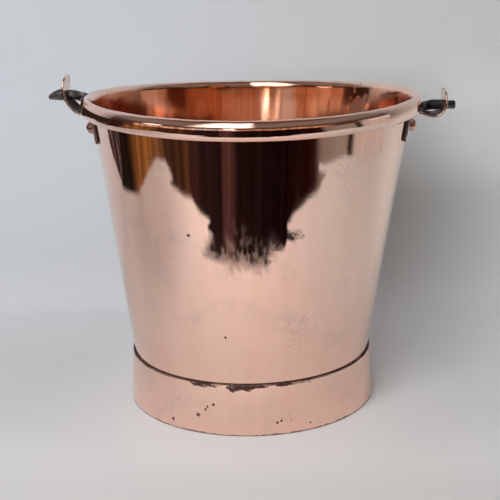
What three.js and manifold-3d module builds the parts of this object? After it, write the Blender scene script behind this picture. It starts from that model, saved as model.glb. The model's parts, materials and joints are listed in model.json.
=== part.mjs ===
// A copper bucket: a tapered sheet wall with its rim rolled over an iron hoop, a foot band round its lower end,
// a base set up inside the foot, two hooked ears riveted on under the rim, and an iron bail that swings in them.
// Millimetres, +Z up, standing on z = 0. The left ear is at -X. The bail rests folded back, towards +Y.
import * as THREE from "three";
import { mergeVertices } from "three/addons/utils/BufferGeometryUtils.js";
import Module from "manifold-3d";

const wasm = await Module();
wasm.setup();

// Driving dimensions, in millimetres and degrees

const SHEET = 1.5; // copper of the wall and the base
const CLEARANCE = 0.3; // between pieces that are soldered, wrapped or riveted together

const MOUTH_RADIUS = 139.7; // inside of the wall, at the height of the roll's middle
const ROLL_HEIGHT = 267.6; // the roll's middle above the floor, taken all round
const ROLL_WIDTH = 10.4; // the rolled rim's section is an upright oval
const ROLL_DEPTH = 16;
const ROLL_SLIT = 0.8; // left open between the rolled edge and the wall

// The bucket was made by hand and its rim isn't true.
const RIM_SADDLE = 2.2; // it stands this much higher at the ears and lower at the front and back
const RIM_TILT = 0.006; // and falls by this much for each millimetre towards +X
const BEND_START = 60; // heights between which the wall takes up both bends
const BEND_FULL = 225;
const MOUTH_SHIFT = 4.3; // the mouth's middle lies this much nearer +X than the foot's

const FOOT_RADIUS = 113; // outside of the foot band at the floor
const FOOT_TOP_RADIUS = 110.6;
const FOOT_HEIGHT = 45.5;
const FOOT_SHEET = 2;
const FOOT_LAP = 18; // how far the wall reaches down inside the foot band
const BASE_FLANGE = 9; // height of the base's turned-down edge
const BASE_CORNER = 2.5;

const EAR_SHEET = 2;
const PLATE_LENGTH = 93; // of the ear's plate, round the wall
const PLATE_HEIGHT = 20.5;
const PLATE_DROP = 1.5; // the plate's upper edge below the roll
const PLATE_CORNER = 6;
const STRAP_WIDTH = 32;
const STRAP_CORNER = 12; // rounding of the strap's upper end
const STRAP_ROOT = 8; // the strap starts on the plate, this much below its level under the roll

const RIVET_SPACING = 43; // between the two rivets of an ear, round the wall
const RIVET_DROP = 10.3; // their axes below the roll
const RIVET_SHANK = 2.6; // radius
const RIVET_HEAD = 5.2; // radius
const RIVET_DOME = 4.3; // height of the head
const RIVET_TAIL = 4.4; // radius of the end that is hammered over inside
const RIVET_TAIL_FLAT = 3.5; // radius of its flat top
const RIVET_TAIL_HEIGHT = 1.3;

const BAIL_RADIUS = 4.25; // of the rod
const GRIP_RADIUS = 5.1; // of the rod at the middle of the bail
const GRIP_SHARE = 0.3; // share of the bail's half turn over which it thickens
const BEND_RADIUS = 4.6; // of the rod's middle line where it turns out into an ear
const PIN_RADIUS = 4.2;
const PIN_HOLE = 4.8; // radius of the hole in an ear
const COLLAR_GAP = 1.6; // between an ear and the thickened end of its pin
const TIP_SHARES = [1, 0.7, 0.4, 0]; // of the worn tip's length, from its end inwards
const TIP_HOLLOW = 1.5; // power that draws the tip's outline in towards its end
const REST_DROP = 11; // degrees below level at which the folded bail lies on its stops

// The two ears are alike up to the roll. Each strap then runs through its own bends, given outwards from where
// it clears the bail's arm and upwards from where it passes under the roll.
const LEFT = {
  name: "left",
  side: -1,
  armGap: 1, // between the roll and the bail's arm
  pinRise: 17.2, // the pin above the strap's level under the roll
  bends: [[-10.2, 1.8], [-7, 3.2], [-3.8, 6], [-0.4, 10.3], [2.6, 15.4], [4, 20.8], [4.1, 26.6], [2.6, 34.8]],
  overhang: 15.2, // of the pin past the strap
  tipRadius: 1.9,
  tipTaper: 11,
  tipDroop: 0.85, // share of the taper by which the tip's middle sinks, so that its underside stays level
  collar: 5, // radius to which the pin is spread outside the ear
};
const RIGHT = {
  name: "right",
  side: 1,
  armGap: 4.4,
  pinRise: 5.3,
  bends: [
    [-13.2, -0.9], [-8.6, -2.7], [-5, -3.2], [-1.2, -2.8], [2, -1.1],
    [4.4, 1.9], [5.8, 6], [6.1, 11.2], [5.3, 19.6],
  ],
  overhang: 8.9,
  tipRadius: 3.1,
  tipTaper: 1.5,
  tipDroop: 0,
  collar: 3.8,
};

// Facets
const AROUND = 64;
const ROLL_STEPS = 12;
const ROD_SIDES = 12;
const BAIL_STEPS = 44;
const BEND_STEPS = 6;
const SMALL_ROUND = 14;
const STRAP_STEPS = 24;
const STRAP_ACROSS = 6;
const PLATE_ACROSS = 14;
const CORNER_STEPS = 3;
const LINE_SAMPLES = 600; // for finding where the hinge line crosses a strap
const CUT_LENGTH = 16; // of what cuts the holes: more than the sheets it goes through

const copper = new THREE.MeshStandardMaterial({ color: 0xc98468, metalness: 1, roughness: 0.15 });
const brightCopper = new THREE.MeshStandardMaterial({ color: 0xd59a80, metalness: 1, roughness: 0.2 });
const iron = new THREE.MeshStandardMaterial({ color: 0x2a2b2e, metalness: 0.7, roughness: 0.55 });

// Worked out from the driving dimensions

const rollA = ROLL_WIDTH / 2;
const rollB = ROLL_DEPTH / 2;
const footOuter = (z) => THREE.MathUtils.lerp(FOOT_RADIUS, FOOT_TOP_RADIUS, z / FOOT_HEIGHT);
const lapOuter = (z) => footOuter(z) - FOOT_SHEET - CLEARANCE;
const lapInner = (z) => lapOuter(z) - SHEET;
const wallSlope = (MOUTH_RADIUS - lapInner(FOOT_HEIGHT)) / (ROLL_HEIGHT - FOOT_HEIGHT);
const wallInner = (z) => MOUTH_RADIUS + wallSlope * (z - ROLL_HEIGHT);
const wallAcross = SHEET * Math.hypot(1, wallSlope); // the sheet's thickness measured level
const wallOuter = (z) => wallInner(z) + wallAcross;
// The oval touches the wall's inside line, so the inside runs smoothly over the rim.
const rollReach = Math.hypot(rollA, wallSlope * rollB);
const rollRadius = MOUTH_RADIUS + rollReach;
const rollOuter = rollRadius + rollA;
const rollBottom = ROLL_HEIGHT - rollB;
const strapLevel = rollBottom - CLEARANCE - EAR_SHEET / 2;
const plateRadius = (z) => wallOuter(z) + CLEARANCE + EAR_SHEET / 2; // of the ear sheet's middle
const rivetHeight = rollBottom - RIVET_DROP;
const rivetTurn = RIVET_SPACING / 2 / plateRadius(rivetHeight);
const lapEnd = FOOT_HEIGHT - FOOT_LAP;
const baseTop = lapEnd + BASE_FLANGE;

// Moves a point of the true bucket to where the hand-made one has it: the rim is bent to a saddle, tilted and set
// over.
function offTrue(point) {
  const share = THREE.MathUtils.smoothstep(point.z, BEND_START, BEND_FULL);
  const lift = share * (RIM_SADDLE * Math.cos(2 * Math.atan2(point.y, point.x)) - RIM_TILT * point.x);
  const over = Math.max(0, (point.z - FOOT_HEIGHT) / (ROLL_HEIGHT - FOOT_HEIGHT));
  point.x += MOUTH_SHIFT * over;
  point.z += lift;
  return point;
}

function allOffTrue(geometry) {
  const p = geometry.attributes.position;
  const point = new THREE.Vector3();
  for (let i = 0; i < p.count; i++) p.setXYZ(i, ...offTrue(point.fromBufferAttribute(p, i)));
  return geometry;
}

// Solids from geometry, and back

// Positions alone, with shared corners merged and the triangles that this flattens left out.
function bare(geometry) {
  const g = new THREE.BufferGeometry();
  g.setAttribute("position", geometry.attributes.position);
  g.setIndex(geometry.index);
  const merged = mergeVertices(g, 1e-4);
  const corners = merged.index.array;
  const kept = [];
  for (let i = 0; i < corners.length; i += 3) {
    const [a, b, c] = corners.slice(i, i + 3);
    if (a !== b && b !== c && c !== a) kept.push(a, b, c);
  }
  return merged.setIndex(kept);
}

function solidOf(geometry) {
  const g = bare(geometry);
  const vertProperties = g.attributes.position.array;
  const triVerts = new Uint32Array(g.index.array);
  return new wasm.Manifold(new wasm.Mesh({ numProp: 3, vertProperties, triVerts }));
}

function geometryOf(solid) {
  const mesh = solid.getMesh();
  const g = new THREE.BufferGeometry();
  g.setAttribute("position", new THREE.BufferAttribute(mesh.vertProperties, 3));
  g.setIndex(new THREE.BufferAttribute(mesh.triVerts, 1));
  return g;
}

// A profile of [radius, height] turned about the Z axis. It closes on itself or ends on the axis, and is taken
// anticlockwise, which makes the faces point outwards.
function turned(profile, around = AROUND) {
  const points = profile.map(([r, z]) => new THREE.Vector2(r, z));
  if (THREE.ShapeUtils.area(points) < 0) points.reverse();
  if (points[0].x > 0) points.push(points[0].clone());
  return bare(new THREE.LatheGeometry(points, around).rotateX(Math.PI / 2));
}

// A closed sheet between two surfaces front(u, v) and back(u, v), which lies on the far side of it, with u and v
// from 0 to 1 and rows given by their v.
function sheetBetween(front, back, across, rows) {
  const width = across + 1;
  const positions = [];
  for (const surface of [front, back])
    for (const v of rows) for (let i = 0; i < width; i++) positions.push(...surface(i / across, v));
  const far = width * rows.length;
  const index = [];
  const quad = (a, b, c, d) => index.push(a, b, c, a, c, d);
  for (let j = 0; j + 1 < rows.length; j++) {
    for (let i = 0; i < across; i++) {
      const k = j * width + i;
      quad(k, k + 1, k + 1 + width, k + width);
      quad(far + k, far + k + width, far + k + 1 + width, far + k + 1);
    }
    const left = j * width;
    const right = left + across;
    quad(left + width, far + left + width, far + left, left);
    quad(right, far + right, far + right + width, right + width);
  }
  const last = (rows.length - 1) * width;
  for (let i = 0; i < across; i++) {
    quad(i, far + i, far + i + 1, i + 1);
    quad(last + i + 1, far + last + i + 1, far + last + i, last + i);
  }
  const g = new THREE.BufferGeometry();
  g.setAttribute("position", new THREE.Float32BufferAttribute(positions, 3));
  g.setIndex(index);
  return g;
}

// A round rod through stations of {at, along, radius}, all lying in the XY plane or sunk below it.
function rod(stations, sides) {
  const positions = [];
  const index = [];
  const up = new THREE.Vector3(0, 0, 1);
  for (const { at, along, radius } of stations) {
    const across = new THREE.Vector3().crossVectors(up, along).normalize();
    for (let k = 0; k < sides; k++) {
      const turn = (2 * Math.PI * k) / sides;
      const p = at.clone().addScaledVector(across, radius * Math.cos(turn));
      p.addScaledVector(up, radius * Math.sin(turn));
      positions.push(p.x, p.y, p.z);
    }
  }
  const last = stations.length - 1;
  for (let j = 0; j < last; j++)
    for (let k = 0; k < sides; k++) {
      const a = j * sides + k;
      const b = j * sides + ((k + 1) % sides);
      index.push(a, b, b + sides, a, b + sides, a + sides);
    }
  for (let k = 1; k + 1 < sides; k++) {
    index.push(0, k + 1, k);
    index.push(last * sides, last * sides + k, last * sides + k + 1);
  }
  const g = new THREE.BufferGeometry();
  g.setAttribute("position", new THREE.Float32BufferAttribute(positions, 3));
  g.setIndex(index);
  return g;
}

// A point on an oval about the roll's middle, smaller than the roll by inset.
const ovalPoint = (turn, inset = 0) => [
  rollRadius + (rollA - inset) * Math.cos(turn),
  ROLL_HEIGHT + (rollB - inset) * Math.sin(turn),
];

// Where a rivet's axis crosses the wall: a matrix whose Y axis points straight out of the wall there.
function rivetPlace(ear, way, moved) {
  const turn = (ear.side > 0 ? 0 : Math.PI) + way * rivetTurn;
  const outward = new THREE.Vector3(Math.cos(turn), Math.sin(turn), -wallSlope).normalize();
  const radius = plateRadius(rivetHeight);
  const at = new THREE.Vector3(radius * Math.cos(turn), radius * Math.sin(turn), rivetHeight);
  if (moved) offTrue(at);
  const spin = new THREE.Quaternion().setFromUnitVectors(new THREE.Vector3(0, 1, 0), outward);
  return new THREE.Matrix4().compose(at, spin, new THREE.Vector3(1, 1, 1));
}

function rivetHole(ear, way) {
  const radius = RIVET_SHANK + CLEARANCE;
  const cutter = new THREE.CylinderGeometry(radius, radius, CUT_LENGTH, SMALL_ROUND);
  return solidOf(cutter.applyMatrix4(rivetPlace(ear, way, false)));
}

// The wall: up its inside, over the roll to the rolled edge, back inside the roll, and down its outside.
function bodyWall() {
  const contact = Math.PI - Math.atan2(wallSlope * rollB, rollA);
  const tuck = Math.atan2(wallSlope * rollB, rollA) + Math.asin((rollReach - wallAcross - ROLL_SLIT) / rollReach);
  const edge = -Math.PI / 2 - tuck;
  const turns = Array.from({ length: ROLL_STEPS + 1 }, (_, i) =>
    THREE.MathUtils.lerp(contact, edge, i / ROLL_STEPS),
  );
  const profile = [
    [lapOuter(lapEnd), lapEnd],
    [lapInner(lapEnd), lapEnd],
    [lapInner(FOOT_HEIGHT), FOOT_HEIGHT],
    [wallInner(BEND_START), BEND_START],
    [wallInner((BEND_START + BEND_FULL) / 2), (BEND_START + BEND_FULL) / 2],
    [wallInner(BEND_FULL), BEND_FULL],
    ...turns.map((turn) => ovalPoint(turn)),
    ...turns.map((turn) => ovalPoint(turn, SHEET)).reverse(),
    [wallOuter(BEND_FULL), BEND_FULL],
    [wallOuter((BEND_START + BEND_FULL) / 2), (BEND_START + BEND_FULL) / 2],
    [wallOuter(BEND_START), BEND_START],
    [wallOuter(FOOT_HEIGHT), FOOT_HEIGHT],
  ];
  let wall = solidOf(turned(profile));
  for (const ear of [LEFT, RIGHT]) for (const way of [-1, 1]) wall = wall.subtract(rivetHole(ear, way));
  return allOffTrue(geometryOf(wall));
}

function rimHoop() {
  const profile = Array.from({ length: ROLL_STEPS - 2 }, (_, i) =>
    ovalPoint((2 * Math.PI * i) / (ROLL_STEPS - 2), SHEET + CLEARANCE),
  );
  return allOffTrue(turned(profile));
}

// The foot band's upper edge is rounded over, half its thickness each way.
function footBand() {
  const round = FOOT_SHEET / 2;
  const shoulder = FOOT_HEIGHT - round;
  const middle = footOuter(shoulder) - round;
  const edge = Array.from({ length: CORNER_STEPS + 1 }, (_, i) => {
    const turn = (Math.PI * i) / CORNER_STEPS;
    return [middle + round * Math.cos(turn), shoulder + round * Math.sin(turn)];
  });
  return turned([[footOuter(0) - FOOT_SHEET, 0], [footOuter(0), 0], ...edge]);
}

function basePlate() {
  const edge = (z) => lapInner(z) - CLEARANCE;
  const corner = Array.from({ length: CORNER_STEPS + 1 }, (_, i) => {
    const turn = (Math.PI / 2) * (i / CORNER_STEPS);
    const middle = edge(baseTop) - BASE_CORNER;
    return [middle + BASE_CORNER * Math.cos(turn), baseTop - BASE_CORNER + BASE_CORNER * Math.sin(turn)];
  });
  return turned([
    [0, baseTop - SHEET],
    [edge(baseTop) - BASE_CORNER, baseTop - SHEET],
    [edge(baseTop) - SHEET, baseTop - BASE_CORNER],
    [edge(lapEnd) - SHEET, lapEnd],
    [edge(lapEnd), lapEnd],
    ...corner,
    [0, baseTop],
  ]);
}

// The strap's middle line seen from the front, out from the plate, under the roll and up: [outwards, height].
function strapLine(ear) {
  const clear = rollOuter + ear.armGap + 2 * BAIL_RADIUS + EAR_SHEET / 2;
  const start = strapLevel - STRAP_ROOT;
  const leaving = strapLevel - STRAP_ROOT / 2;
  const points = [
    [plateRadius(start), start],
    [plateRadius(leaving), leaving],
    [rollRadius, strapLevel],
    ...ear.bends.map(([out, rise]) => [clear + out, strapLevel + rise]),
  ];
  return new THREE.SplineCurve(points.map(([x, z]) => new THREE.Vector2(x, z)));
}

// The hinge line runs through both ears' holes, where it crosses the straps' middle lines.
function pinPoint(ear) {
  const height = strapLevel + ear.pinRise;
  const line = strapLine(ear).getSpacedPoints(LINE_SAMPLES).reverse();
  const crossing = line.find((p) => p.y <= height);
  return offTrue(new THREE.Vector3(ear.side * crossing.x, 0, height));
}

const leftPin = pinPoint(LEFT);
const rightPin = pinPoint(RIGHT);
const hingeAxis = rightPin.clone().sub(leftPin).normalize();

function earPlate(ear) {
  const bottom = rollBottom - PLATE_DROP - PLATE_HEIGHT;
  const corner = Array.from({ length: CORNER_STEPS + 1 }, (_, i) => {
    const turn = (Math.PI / 2) * (i / CORNER_STEPS);
    return {
      z: bottom + PLATE_CORNER * (1 - Math.cos(turn)),
      half: PLATE_LENGTH / 2 - PLATE_CORNER * (1 - Math.sin(turn)),
    };
  });
  const levels = [...corner, { z: bottom + PLATE_HEIGHT, half: PLATE_LENGTH / 2 }];
  const surface = (offset) => (u, v) => {
    const { z, half } = levels[v];
    const turn = ((2 * u - 1) * half) / plateRadius(z);
    const radius = plateRadius(z) + offset;
    return [ear.side * radius * Math.cos(turn), ear.side * radius * Math.sin(turn), z];
  };
  return sheetBetween(surface(EAR_SHEET / 2), surface(-EAR_SHEET / 2), PLATE_ACROSS, [...levels.keys()]);
}

// The strap is curved like the wall where it leaves the plate and flat at its free end, whose corners are rounded.
function earStrap(ear) {
  const line = strapLine(ear);
  const length = line.getLength();
  const rounding = Array.from({ length: CORNER_STEPS }, (_, i) => Math.cos((Math.PI / 2) * (i / CORNER_STEPS)));
  const straight = 1 - STRAP_CORNER / length;
  const rows = [
    ...Array.from({ length: STRAP_STEPS + 1 }, (_, i) => (straight * i) / STRAP_STEPS),
    ...rounding.reverse().map((c) => straight + (1 - straight) * c),
  ];
  const surface = (offset) => (u, v) => {
    const at = line.getPointAt(v);
    const along = line.getTangentAt(v);
    const fromEnd = Math.max(0, STRAP_CORNER - (1 - v) * length);
    const half = STRAP_WIDTH / 2 - STRAP_CORNER + Math.sqrt(STRAP_CORNER ** 2 - fromEnd ** 2);
    const y = (2 * u - 1) * half;
    const bow = (Math.max(0, 1 - 2 * v) * y * y) / (2 * plateRadius(strapLevel));
    return [ear.side * (at.x - bow + offset * along.y), ear.side * y, at.y - offset * along.x];
  };
  return sheetBetween(surface(EAR_SHEET / 2), surface(-EAR_SHEET / 2), STRAP_ACROSS, rows);
}

function earPiece(ear) {
  let solid = solidOf(earPlate(ear)).add(solidOf(earStrap(ear)));
  for (const way of [-1, 1]) solid = solid.subtract(rivetHole(ear, way));
  const spin = new THREE.Quaternion().setFromUnitVectors(new THREE.Vector3(0, 1, 0), hingeAxis);
  const pin = ear.side < 0 ? leftPin : rightPin;
  const hole = new THREE.CylinderGeometry(PIN_HOLE, PIN_HOLE, CUT_LENGTH, 2 * SMALL_ROUND);
  hole.applyMatrix4(new THREE.Matrix4().compose(pin, spin, new THREE.Vector3(1, 1, 1)));
  return geometryOf(solidOf(allOffTrue(geometryOf(solid))).subtract(solidOf(hole)));
}

// A rivet about the Y axis, with y = 0 in the middle of the ear's sheet: tail, shank, then a domed head.
function rivet() {
  const seat = EAR_SHEET / 2 + CLEARANCE;
  const inside = -(EAR_SHEET / 2 + CLEARANCE + SHEET + CLEARANCE);
  const dome = Array.from({ length: CORNER_STEPS + 2 }, (_, i) => {
    const turn = (Math.PI / 2) * (i / (CORNER_STEPS + 1));
    return [RIVET_HEAD * Math.cos(turn), seat + RIVET_DOME * Math.sin(turn)];
  });
  dome[dome.length - 1][0] = 0;
  const points = [
    [0, inside - RIVET_TAIL_HEIGHT],
    [RIVET_TAIL_FLAT, inside - RIVET_TAIL_HEIGHT],
    [RIVET_TAIL, inside - RIVET_TAIL_HEIGHT / 2],
    [RIVET_TAIL, inside],
    [RIVET_SHANK, inside],
    [RIVET_SHANK, seat],
    ...dome,
  ].map(([r, y]) => new THREE.Vector2(r, y));
  return bare(new THREE.LatheGeometry(points, SMALL_ROUND));
}

// The bail in its own plane: X along the hinge line, Y the way it reaches, its pins on the X axis.
function bail() {
  const leftArm = rollOuter + LEFT.armGap + BAIL_RADIUS;
  const rightArm = rollOuter + RIGHT.armGap + BAIL_RADIUS;
  const reach = (leftArm + rightArm) / 2;
  const middle = (rightArm - leftArm) / 2;
  const startTurn = Math.asin(BEND_RADIUS / (reach + BEND_RADIUS));
  const bendStart = (reach + BEND_RADIUS) * Math.cos(startTurn);
  const bendTurn = Math.PI / 2 - startTurn;
  const leftEnd = bailEnd(LEFT, leftPin, middle, bendStart, bendTurn);
  const rightEnd = bailEnd(RIGHT, rightPin, middle, bendStart, bendTurn);
  const arc = Array.from({ length: BAIL_STEPS + 1 }, (_, i) => {
    const turn = THREE.MathUtils.lerp(startTurn, Math.PI - startTurn, i / BAIL_STEPS);
    const fromGrip = Math.abs(turn / Math.PI - 0.5) / GRIP_SHARE;
    const swell = THREE.MathUtils.smoothstep(1 - fromGrip, 0, 1);
    return {
      at: new THREE.Vector3(-reach * Math.cos(turn), reach * Math.sin(turn), 0),
      along: new THREE.Vector3(Math.sin(turn), Math.cos(turn), 0),
      radius: THREE.MathUtils.lerp(BAIL_RADIUS, GRIP_RADIUS, swell),
    };
  });
  const geometry = rod([...leftEnd, ...arc, ...rightEnd.reverse()], ROD_SIDES);
  return { geometry, middle };
}

// One end of the bail from its tip inwards: the worn tip, the pin, and the bend up to the arm, walked towards +X.
function bailEnd(ear, pin, middle, bendStart, bendTurn) {
  const fromMiddle = (outwards) => (outwards - ear.side * middle) / hingeAxis.x;
  const earFace = Math.abs(pin.x - MOUTH_SHIFT) + EAR_SHEET / 2;
  const tip = fromMiddle(earFace + ear.overhang);
  const collar = fromMiddle(earFace + COLLAR_GAP);
  const station = (x, radius, sink = 0) => ({
    at: new THREE.Vector3(ear.side * x, 0, -sink),
    along: new THREE.Vector3(1, 0, 0),
    radius,
  });
  const taper = TIP_SHARES.map((share) => {
    const radius = THREE.MathUtils.lerp(ear.collar, ear.tipRadius, share ** TIP_HOLLOW);
    return station(tip - ear.tipTaper * (1 - share), radius, ear.tipDroop * (ear.collar - radius));
  });
  const bend = Array.from({ length: BEND_STEPS }, (_, i) => {
    const share = i / BEND_STEPS;
    const turn = share * bendTurn;
    const out = bendStart - BEND_RADIUS * Math.sin(turn);
    return {
      at: new THREE.Vector3(ear.side * out, BEND_RADIUS * (1 - Math.cos(turn)), 0),
      along: new THREE.Vector3(Math.cos(turn), -ear.side * Math.sin(turn), 0),
      radius: THREE.MathUtils.lerp(PIN_RADIUS, BAIL_RADIUS, share),
    };
  });
  return [...taper, station(collar + COLLAR_GAP, ear.collar), station(collar, PIN_RADIUS), ...bend];
}

// The scene: the bucket about its own axis, and the bail on its hinge line

function piece(name, geometry, material) {
  geometry.computeVertexNormals();
  const mesh = new THREE.Mesh(geometry, material);
  mesh.name = name;
  return mesh;
}

const bucket = new THREE.Group();
bucket.add(
  piece("body_wall", bodyWall(), copper),
  piece("rim_hoop", rimHoop(), iron),
  piece("foot_band", footBand(), copper),
  piece("base_plate", basePlate(), copper),
);
for (const side of [LEFT, RIGHT]) {
  bucket.add(piece(`${side.name}_ear`, earPiece(side), brightCopper));
  for (const way of [-1, 1]) {
    const place = way * side.side < 0 ? "front" : "back";
    const mesh = piece(`${side.name}_rivet_${place}`, rivet(), brightCopper);
    mesh.applyMatrix4(rivetPlace(side, way, true));
    bucket.add(mesh);
  }
}

// The bail's group has its X axis on the hinge line and is turned down from level by REST_DROP.
const { geometry: bailGeometry, middle: bailMiddle } = bail();
const hinge = new THREE.Group();
const onHinge = (MOUTH_SHIFT + bailMiddle - leftPin.x) / (rightPin.x - leftPin.x);
hinge.position.copy(leftPin).lerp(rightPin, onHinge);
const hingeUp = new THREE.Vector3().crossVectors(hingeAxis, new THREE.Vector3(0, 1, 0));
hinge.quaternion.setFromRotationMatrix(
  new THREE.Matrix4().makeBasis(hingeAxis, new THREE.Vector3(0, 1, 0), hingeUp),
);
hinge.rotateX(THREE.MathUtils.degToRad(-REST_DROP));
hinge.add(piece("bail", bailGeometry, iron));
bucket.add(hinge);

// The origin is the middle of the floor space that the bucket and its folded bail take up.
const room = new THREE.Box3().setFromObject(bucket, true).getCenter(new THREE.Vector3());
bucket.position.set(-room.x, -room.y, 0);

export default bucket;
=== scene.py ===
"""A hand-made copper bucket with an iron bail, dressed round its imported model.

The bucket is a tapered sheet wall whose rim is rolled over an iron hoop, with a foot band, a base, two
hooked and riveted ears, and a forged bail folded back. Sizes are in millimetres, about the bucket's own
upright axis, and each mesh is put into the model's frame in metres when it is made. The bail hangs to the
back, towards +Y.
"""
import json
import logging
import math
from dataclasses import dataclass, field
from enum import Enum

import bpy
import numpy as np
from mathutils import Matrix, Vector
from mathutils.geometry import tessellate_polygon


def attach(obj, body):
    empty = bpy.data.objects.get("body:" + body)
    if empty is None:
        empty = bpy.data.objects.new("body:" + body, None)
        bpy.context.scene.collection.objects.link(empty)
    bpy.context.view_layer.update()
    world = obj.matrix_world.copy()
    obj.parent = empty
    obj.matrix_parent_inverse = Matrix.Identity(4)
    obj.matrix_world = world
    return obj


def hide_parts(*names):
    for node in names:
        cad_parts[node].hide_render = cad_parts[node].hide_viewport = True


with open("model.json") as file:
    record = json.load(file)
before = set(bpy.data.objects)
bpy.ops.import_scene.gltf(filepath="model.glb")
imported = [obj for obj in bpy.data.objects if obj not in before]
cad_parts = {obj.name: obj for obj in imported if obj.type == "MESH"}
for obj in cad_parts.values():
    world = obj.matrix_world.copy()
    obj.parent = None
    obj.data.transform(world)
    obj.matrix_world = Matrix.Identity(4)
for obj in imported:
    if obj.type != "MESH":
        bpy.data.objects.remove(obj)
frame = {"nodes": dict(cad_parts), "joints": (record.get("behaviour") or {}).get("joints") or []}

Array = np.ndarray
Material = bpy.types.Material
Object = bpy.types.Object
Socket = bpy.types.NodeSocket
Pair = tuple[float, float]
Triple = tuple[float, float, float]

MM = 0.001
AXIS_X = -4.055
AXIS_Y = -4.577
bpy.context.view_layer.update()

log = logging.getLogger("bucket")


class Side(Enum):
    """Which ear a piece belongs to, as the sign of its place along X."""

    LEFT = -1
    RIGHT = 1


# Shapes worked out as arrays


def smoothstep(values: Array, low: float, high: float) -> Array:
    """Rises from 0 at low to 1 at high as t t (3 - 2 t).

    Args:
        values: the numbers to ease.
        low: where the rise starts.
        high: where it ends.

    Returns:
        The eased numbers, from 0 to 1.
    """
    t = np.clip((values - low) / (high - low), 0.0, 1.0)
    return t * t * (3.0 - 2.0 * t)


def lerp(a: float, b: float, t: Array) -> Array:
    """Returns a + (b - a) t."""
    return a + (b - a) * t


def table(*values: Array | float) -> Array:
    """Returns the values side by side in a last direction, each an array or a single number."""
    return np.stack(np.broadcast_arrays(*values), -1)


def way_along(line: Array) -> Array:
    """Returns how far along a line each of its points lies."""
    return np.concatenate([[0.0], np.cumsum(np.linalg.norm(np.diff(line, axis=0), axis=1))])


def quads(rows: int, columns: int, wrap_rows: bool, wrap_columns: bool) -> Array:
    """Corners of the faces of a grid: point (j, i) is number j * columns + i.

    Args:
        rows: number of rows of points.
        columns: number of points in a row.
        wrap_rows: whether the last row joins the first.
        wrap_columns: whether each row closes on itself.

    Returns:
        An array of four corners for each face.
    """
    j = np.arange(rows if wrap_rows else rows - 1)[:, None]
    i = np.arange(columns if wrap_columns else columns - 1)[None, :]
    up, right = (j + 1) % rows, (i + 1) % columns
    corners = table(j * columns + i, j * columns + right, up * columns + right, up * columns + i)
    return corners.reshape(-1, 4)


def inside_out(points: Array, faces: Array) -> bool:
    """Says whether a closed shell's faces point inwards, from the sign of its volume.

    The volume is the sum of a . (b x c) / 6 over the triangles.

    Args:
        points: the shell's points, one in each row.
        faces: three or four corners for each face.

    Returns:
        True where the volume comes out negative.
    """
    a, b, c = points[faces[:, 0]], points[faces[:, 1]], points[faces[:, 2]]
    volume = np.einsum("ij,ij->", a, np.cross(b, c))
    if faces.shape[1] == 4:
        d = points[faces[:, 3]]
        volume += np.einsum("ij,ij->", a, np.cross(c, d))
    return bool(volume < 0.0)


def mesh_object(name: str, points: Array, groups: list[Array], sharp: float = 42.0) -> Object:
    """Makes a smooth-shaded mesh object from points in metres.

    Args:
        name: the piece's name.
        points: its points, one in each row.
        groups: arrays of faces, each with its own number of corners.
        sharp: edges that bend by more degrees than this are shaded sharp.

    Returns:
        The object, linked to the scene, at the origin.
    """
    mesh = bpy.data.meshes.new(name)
    flip = inside_out(points, max(groups, key=len))
    faces = [face for group in groups for face in (group[:, ::-1] if flip else group).tolist()]
    mesh.from_pydata(points.tolist(), [], faces)
    mesh.validate()
    mesh.shade_smooth()
    mesh.set_sharp_from_angle(angle=math.radians(sharp))
    piece = bpy.data.objects.new(name, mesh)
    bpy.context.scene.collection.objects.link(piece)
    return piece


def turned_grid(profile: Array, columns: int) -> tuple[Array, Array]:
    """Turns a profile about the upright axis: the point is (r cos t, r sin t, z).

    Args:
        profile: radius and height of each point, one in each row.
        columns: steps round the axis.

    Returns:
        The points as (profile, columns, 3), and the turn t of each column.
    """
    turn = np.linspace(0.0, 2.0 * math.pi, columns, endpoint=False)
    r, z = profile[:, :1], profile[:, 1:]
    return table(r * np.cos(turn), r * np.sin(turn), z), turn


def push_out(grid: Array, turn: Array, swell: Array) -> None:
    """Moves the points of a turned grid outwards by the swell, in millimetres."""
    grid[..., 0] += swell * np.cos(turn)
    grid[..., 1] += swell * np.sin(turn)


def resample(corners: list[Pair], step: float) -> Array:
    """Points along a bent line, evenly spaced on each of its stretches.

    Args:
        corners: the line's corners.
        step: greatest distance between two points.

    Returns:
        The points from the first corner to the last, one in each row.
    """
    line = np.array(corners)
    parts = [
        np.linspace(a, b, max(2, math.ceil(float(np.linalg.norm(b - a)) / step) + 1))[:-1]
        for a, b in zip(line[:-1], line[1:])
    ]
    return np.concatenate([*parts, line[-1:]])


@dataclass(frozen=True)
class Waves:
    """Slight waves left by the hammer and the mop, the same after one turn.

    They are the sum of sin(m u + q v + p) terms over the root of their count. A wave is at most size
    millimetres high and no steeper than slope on a wall of that radius, m lies between the two turns, q
    between heights and its opposite in radians in a millimetre, and the seed picks them.
    """

    size: float
    slope: float
    seed: int
    turns: tuple[int, int]
    heights: float
    count: int = 34
    radius: float = 130.0

    def at(self, u: Array, v: Array) -> Array:
        """Adds the waves up.

        Args:
            u: turn round the axis, in radians.
            v: height or way along, in millimetres.

        Returns:
            How far each point stands out, in millimetres.
        """
        pick = np.random.default_rng(self.seed)
        total = np.zeros(np.broadcast(u, v).shape)
        for _ in range(self.count):
            m = int(pick.integers(self.turns[0], self.turns[1]))
            q = float(pick.uniform(-self.heights, self.heights))
            phase = float(pick.uniform(0.0, 2.0 * math.pi))
            steep = math.hypot(m / self.radius, q)
            total += min(self.size, self.slope / steep) * np.sin(m * u + q * v + phase)
        return total / math.sqrt(self.count)


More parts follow.
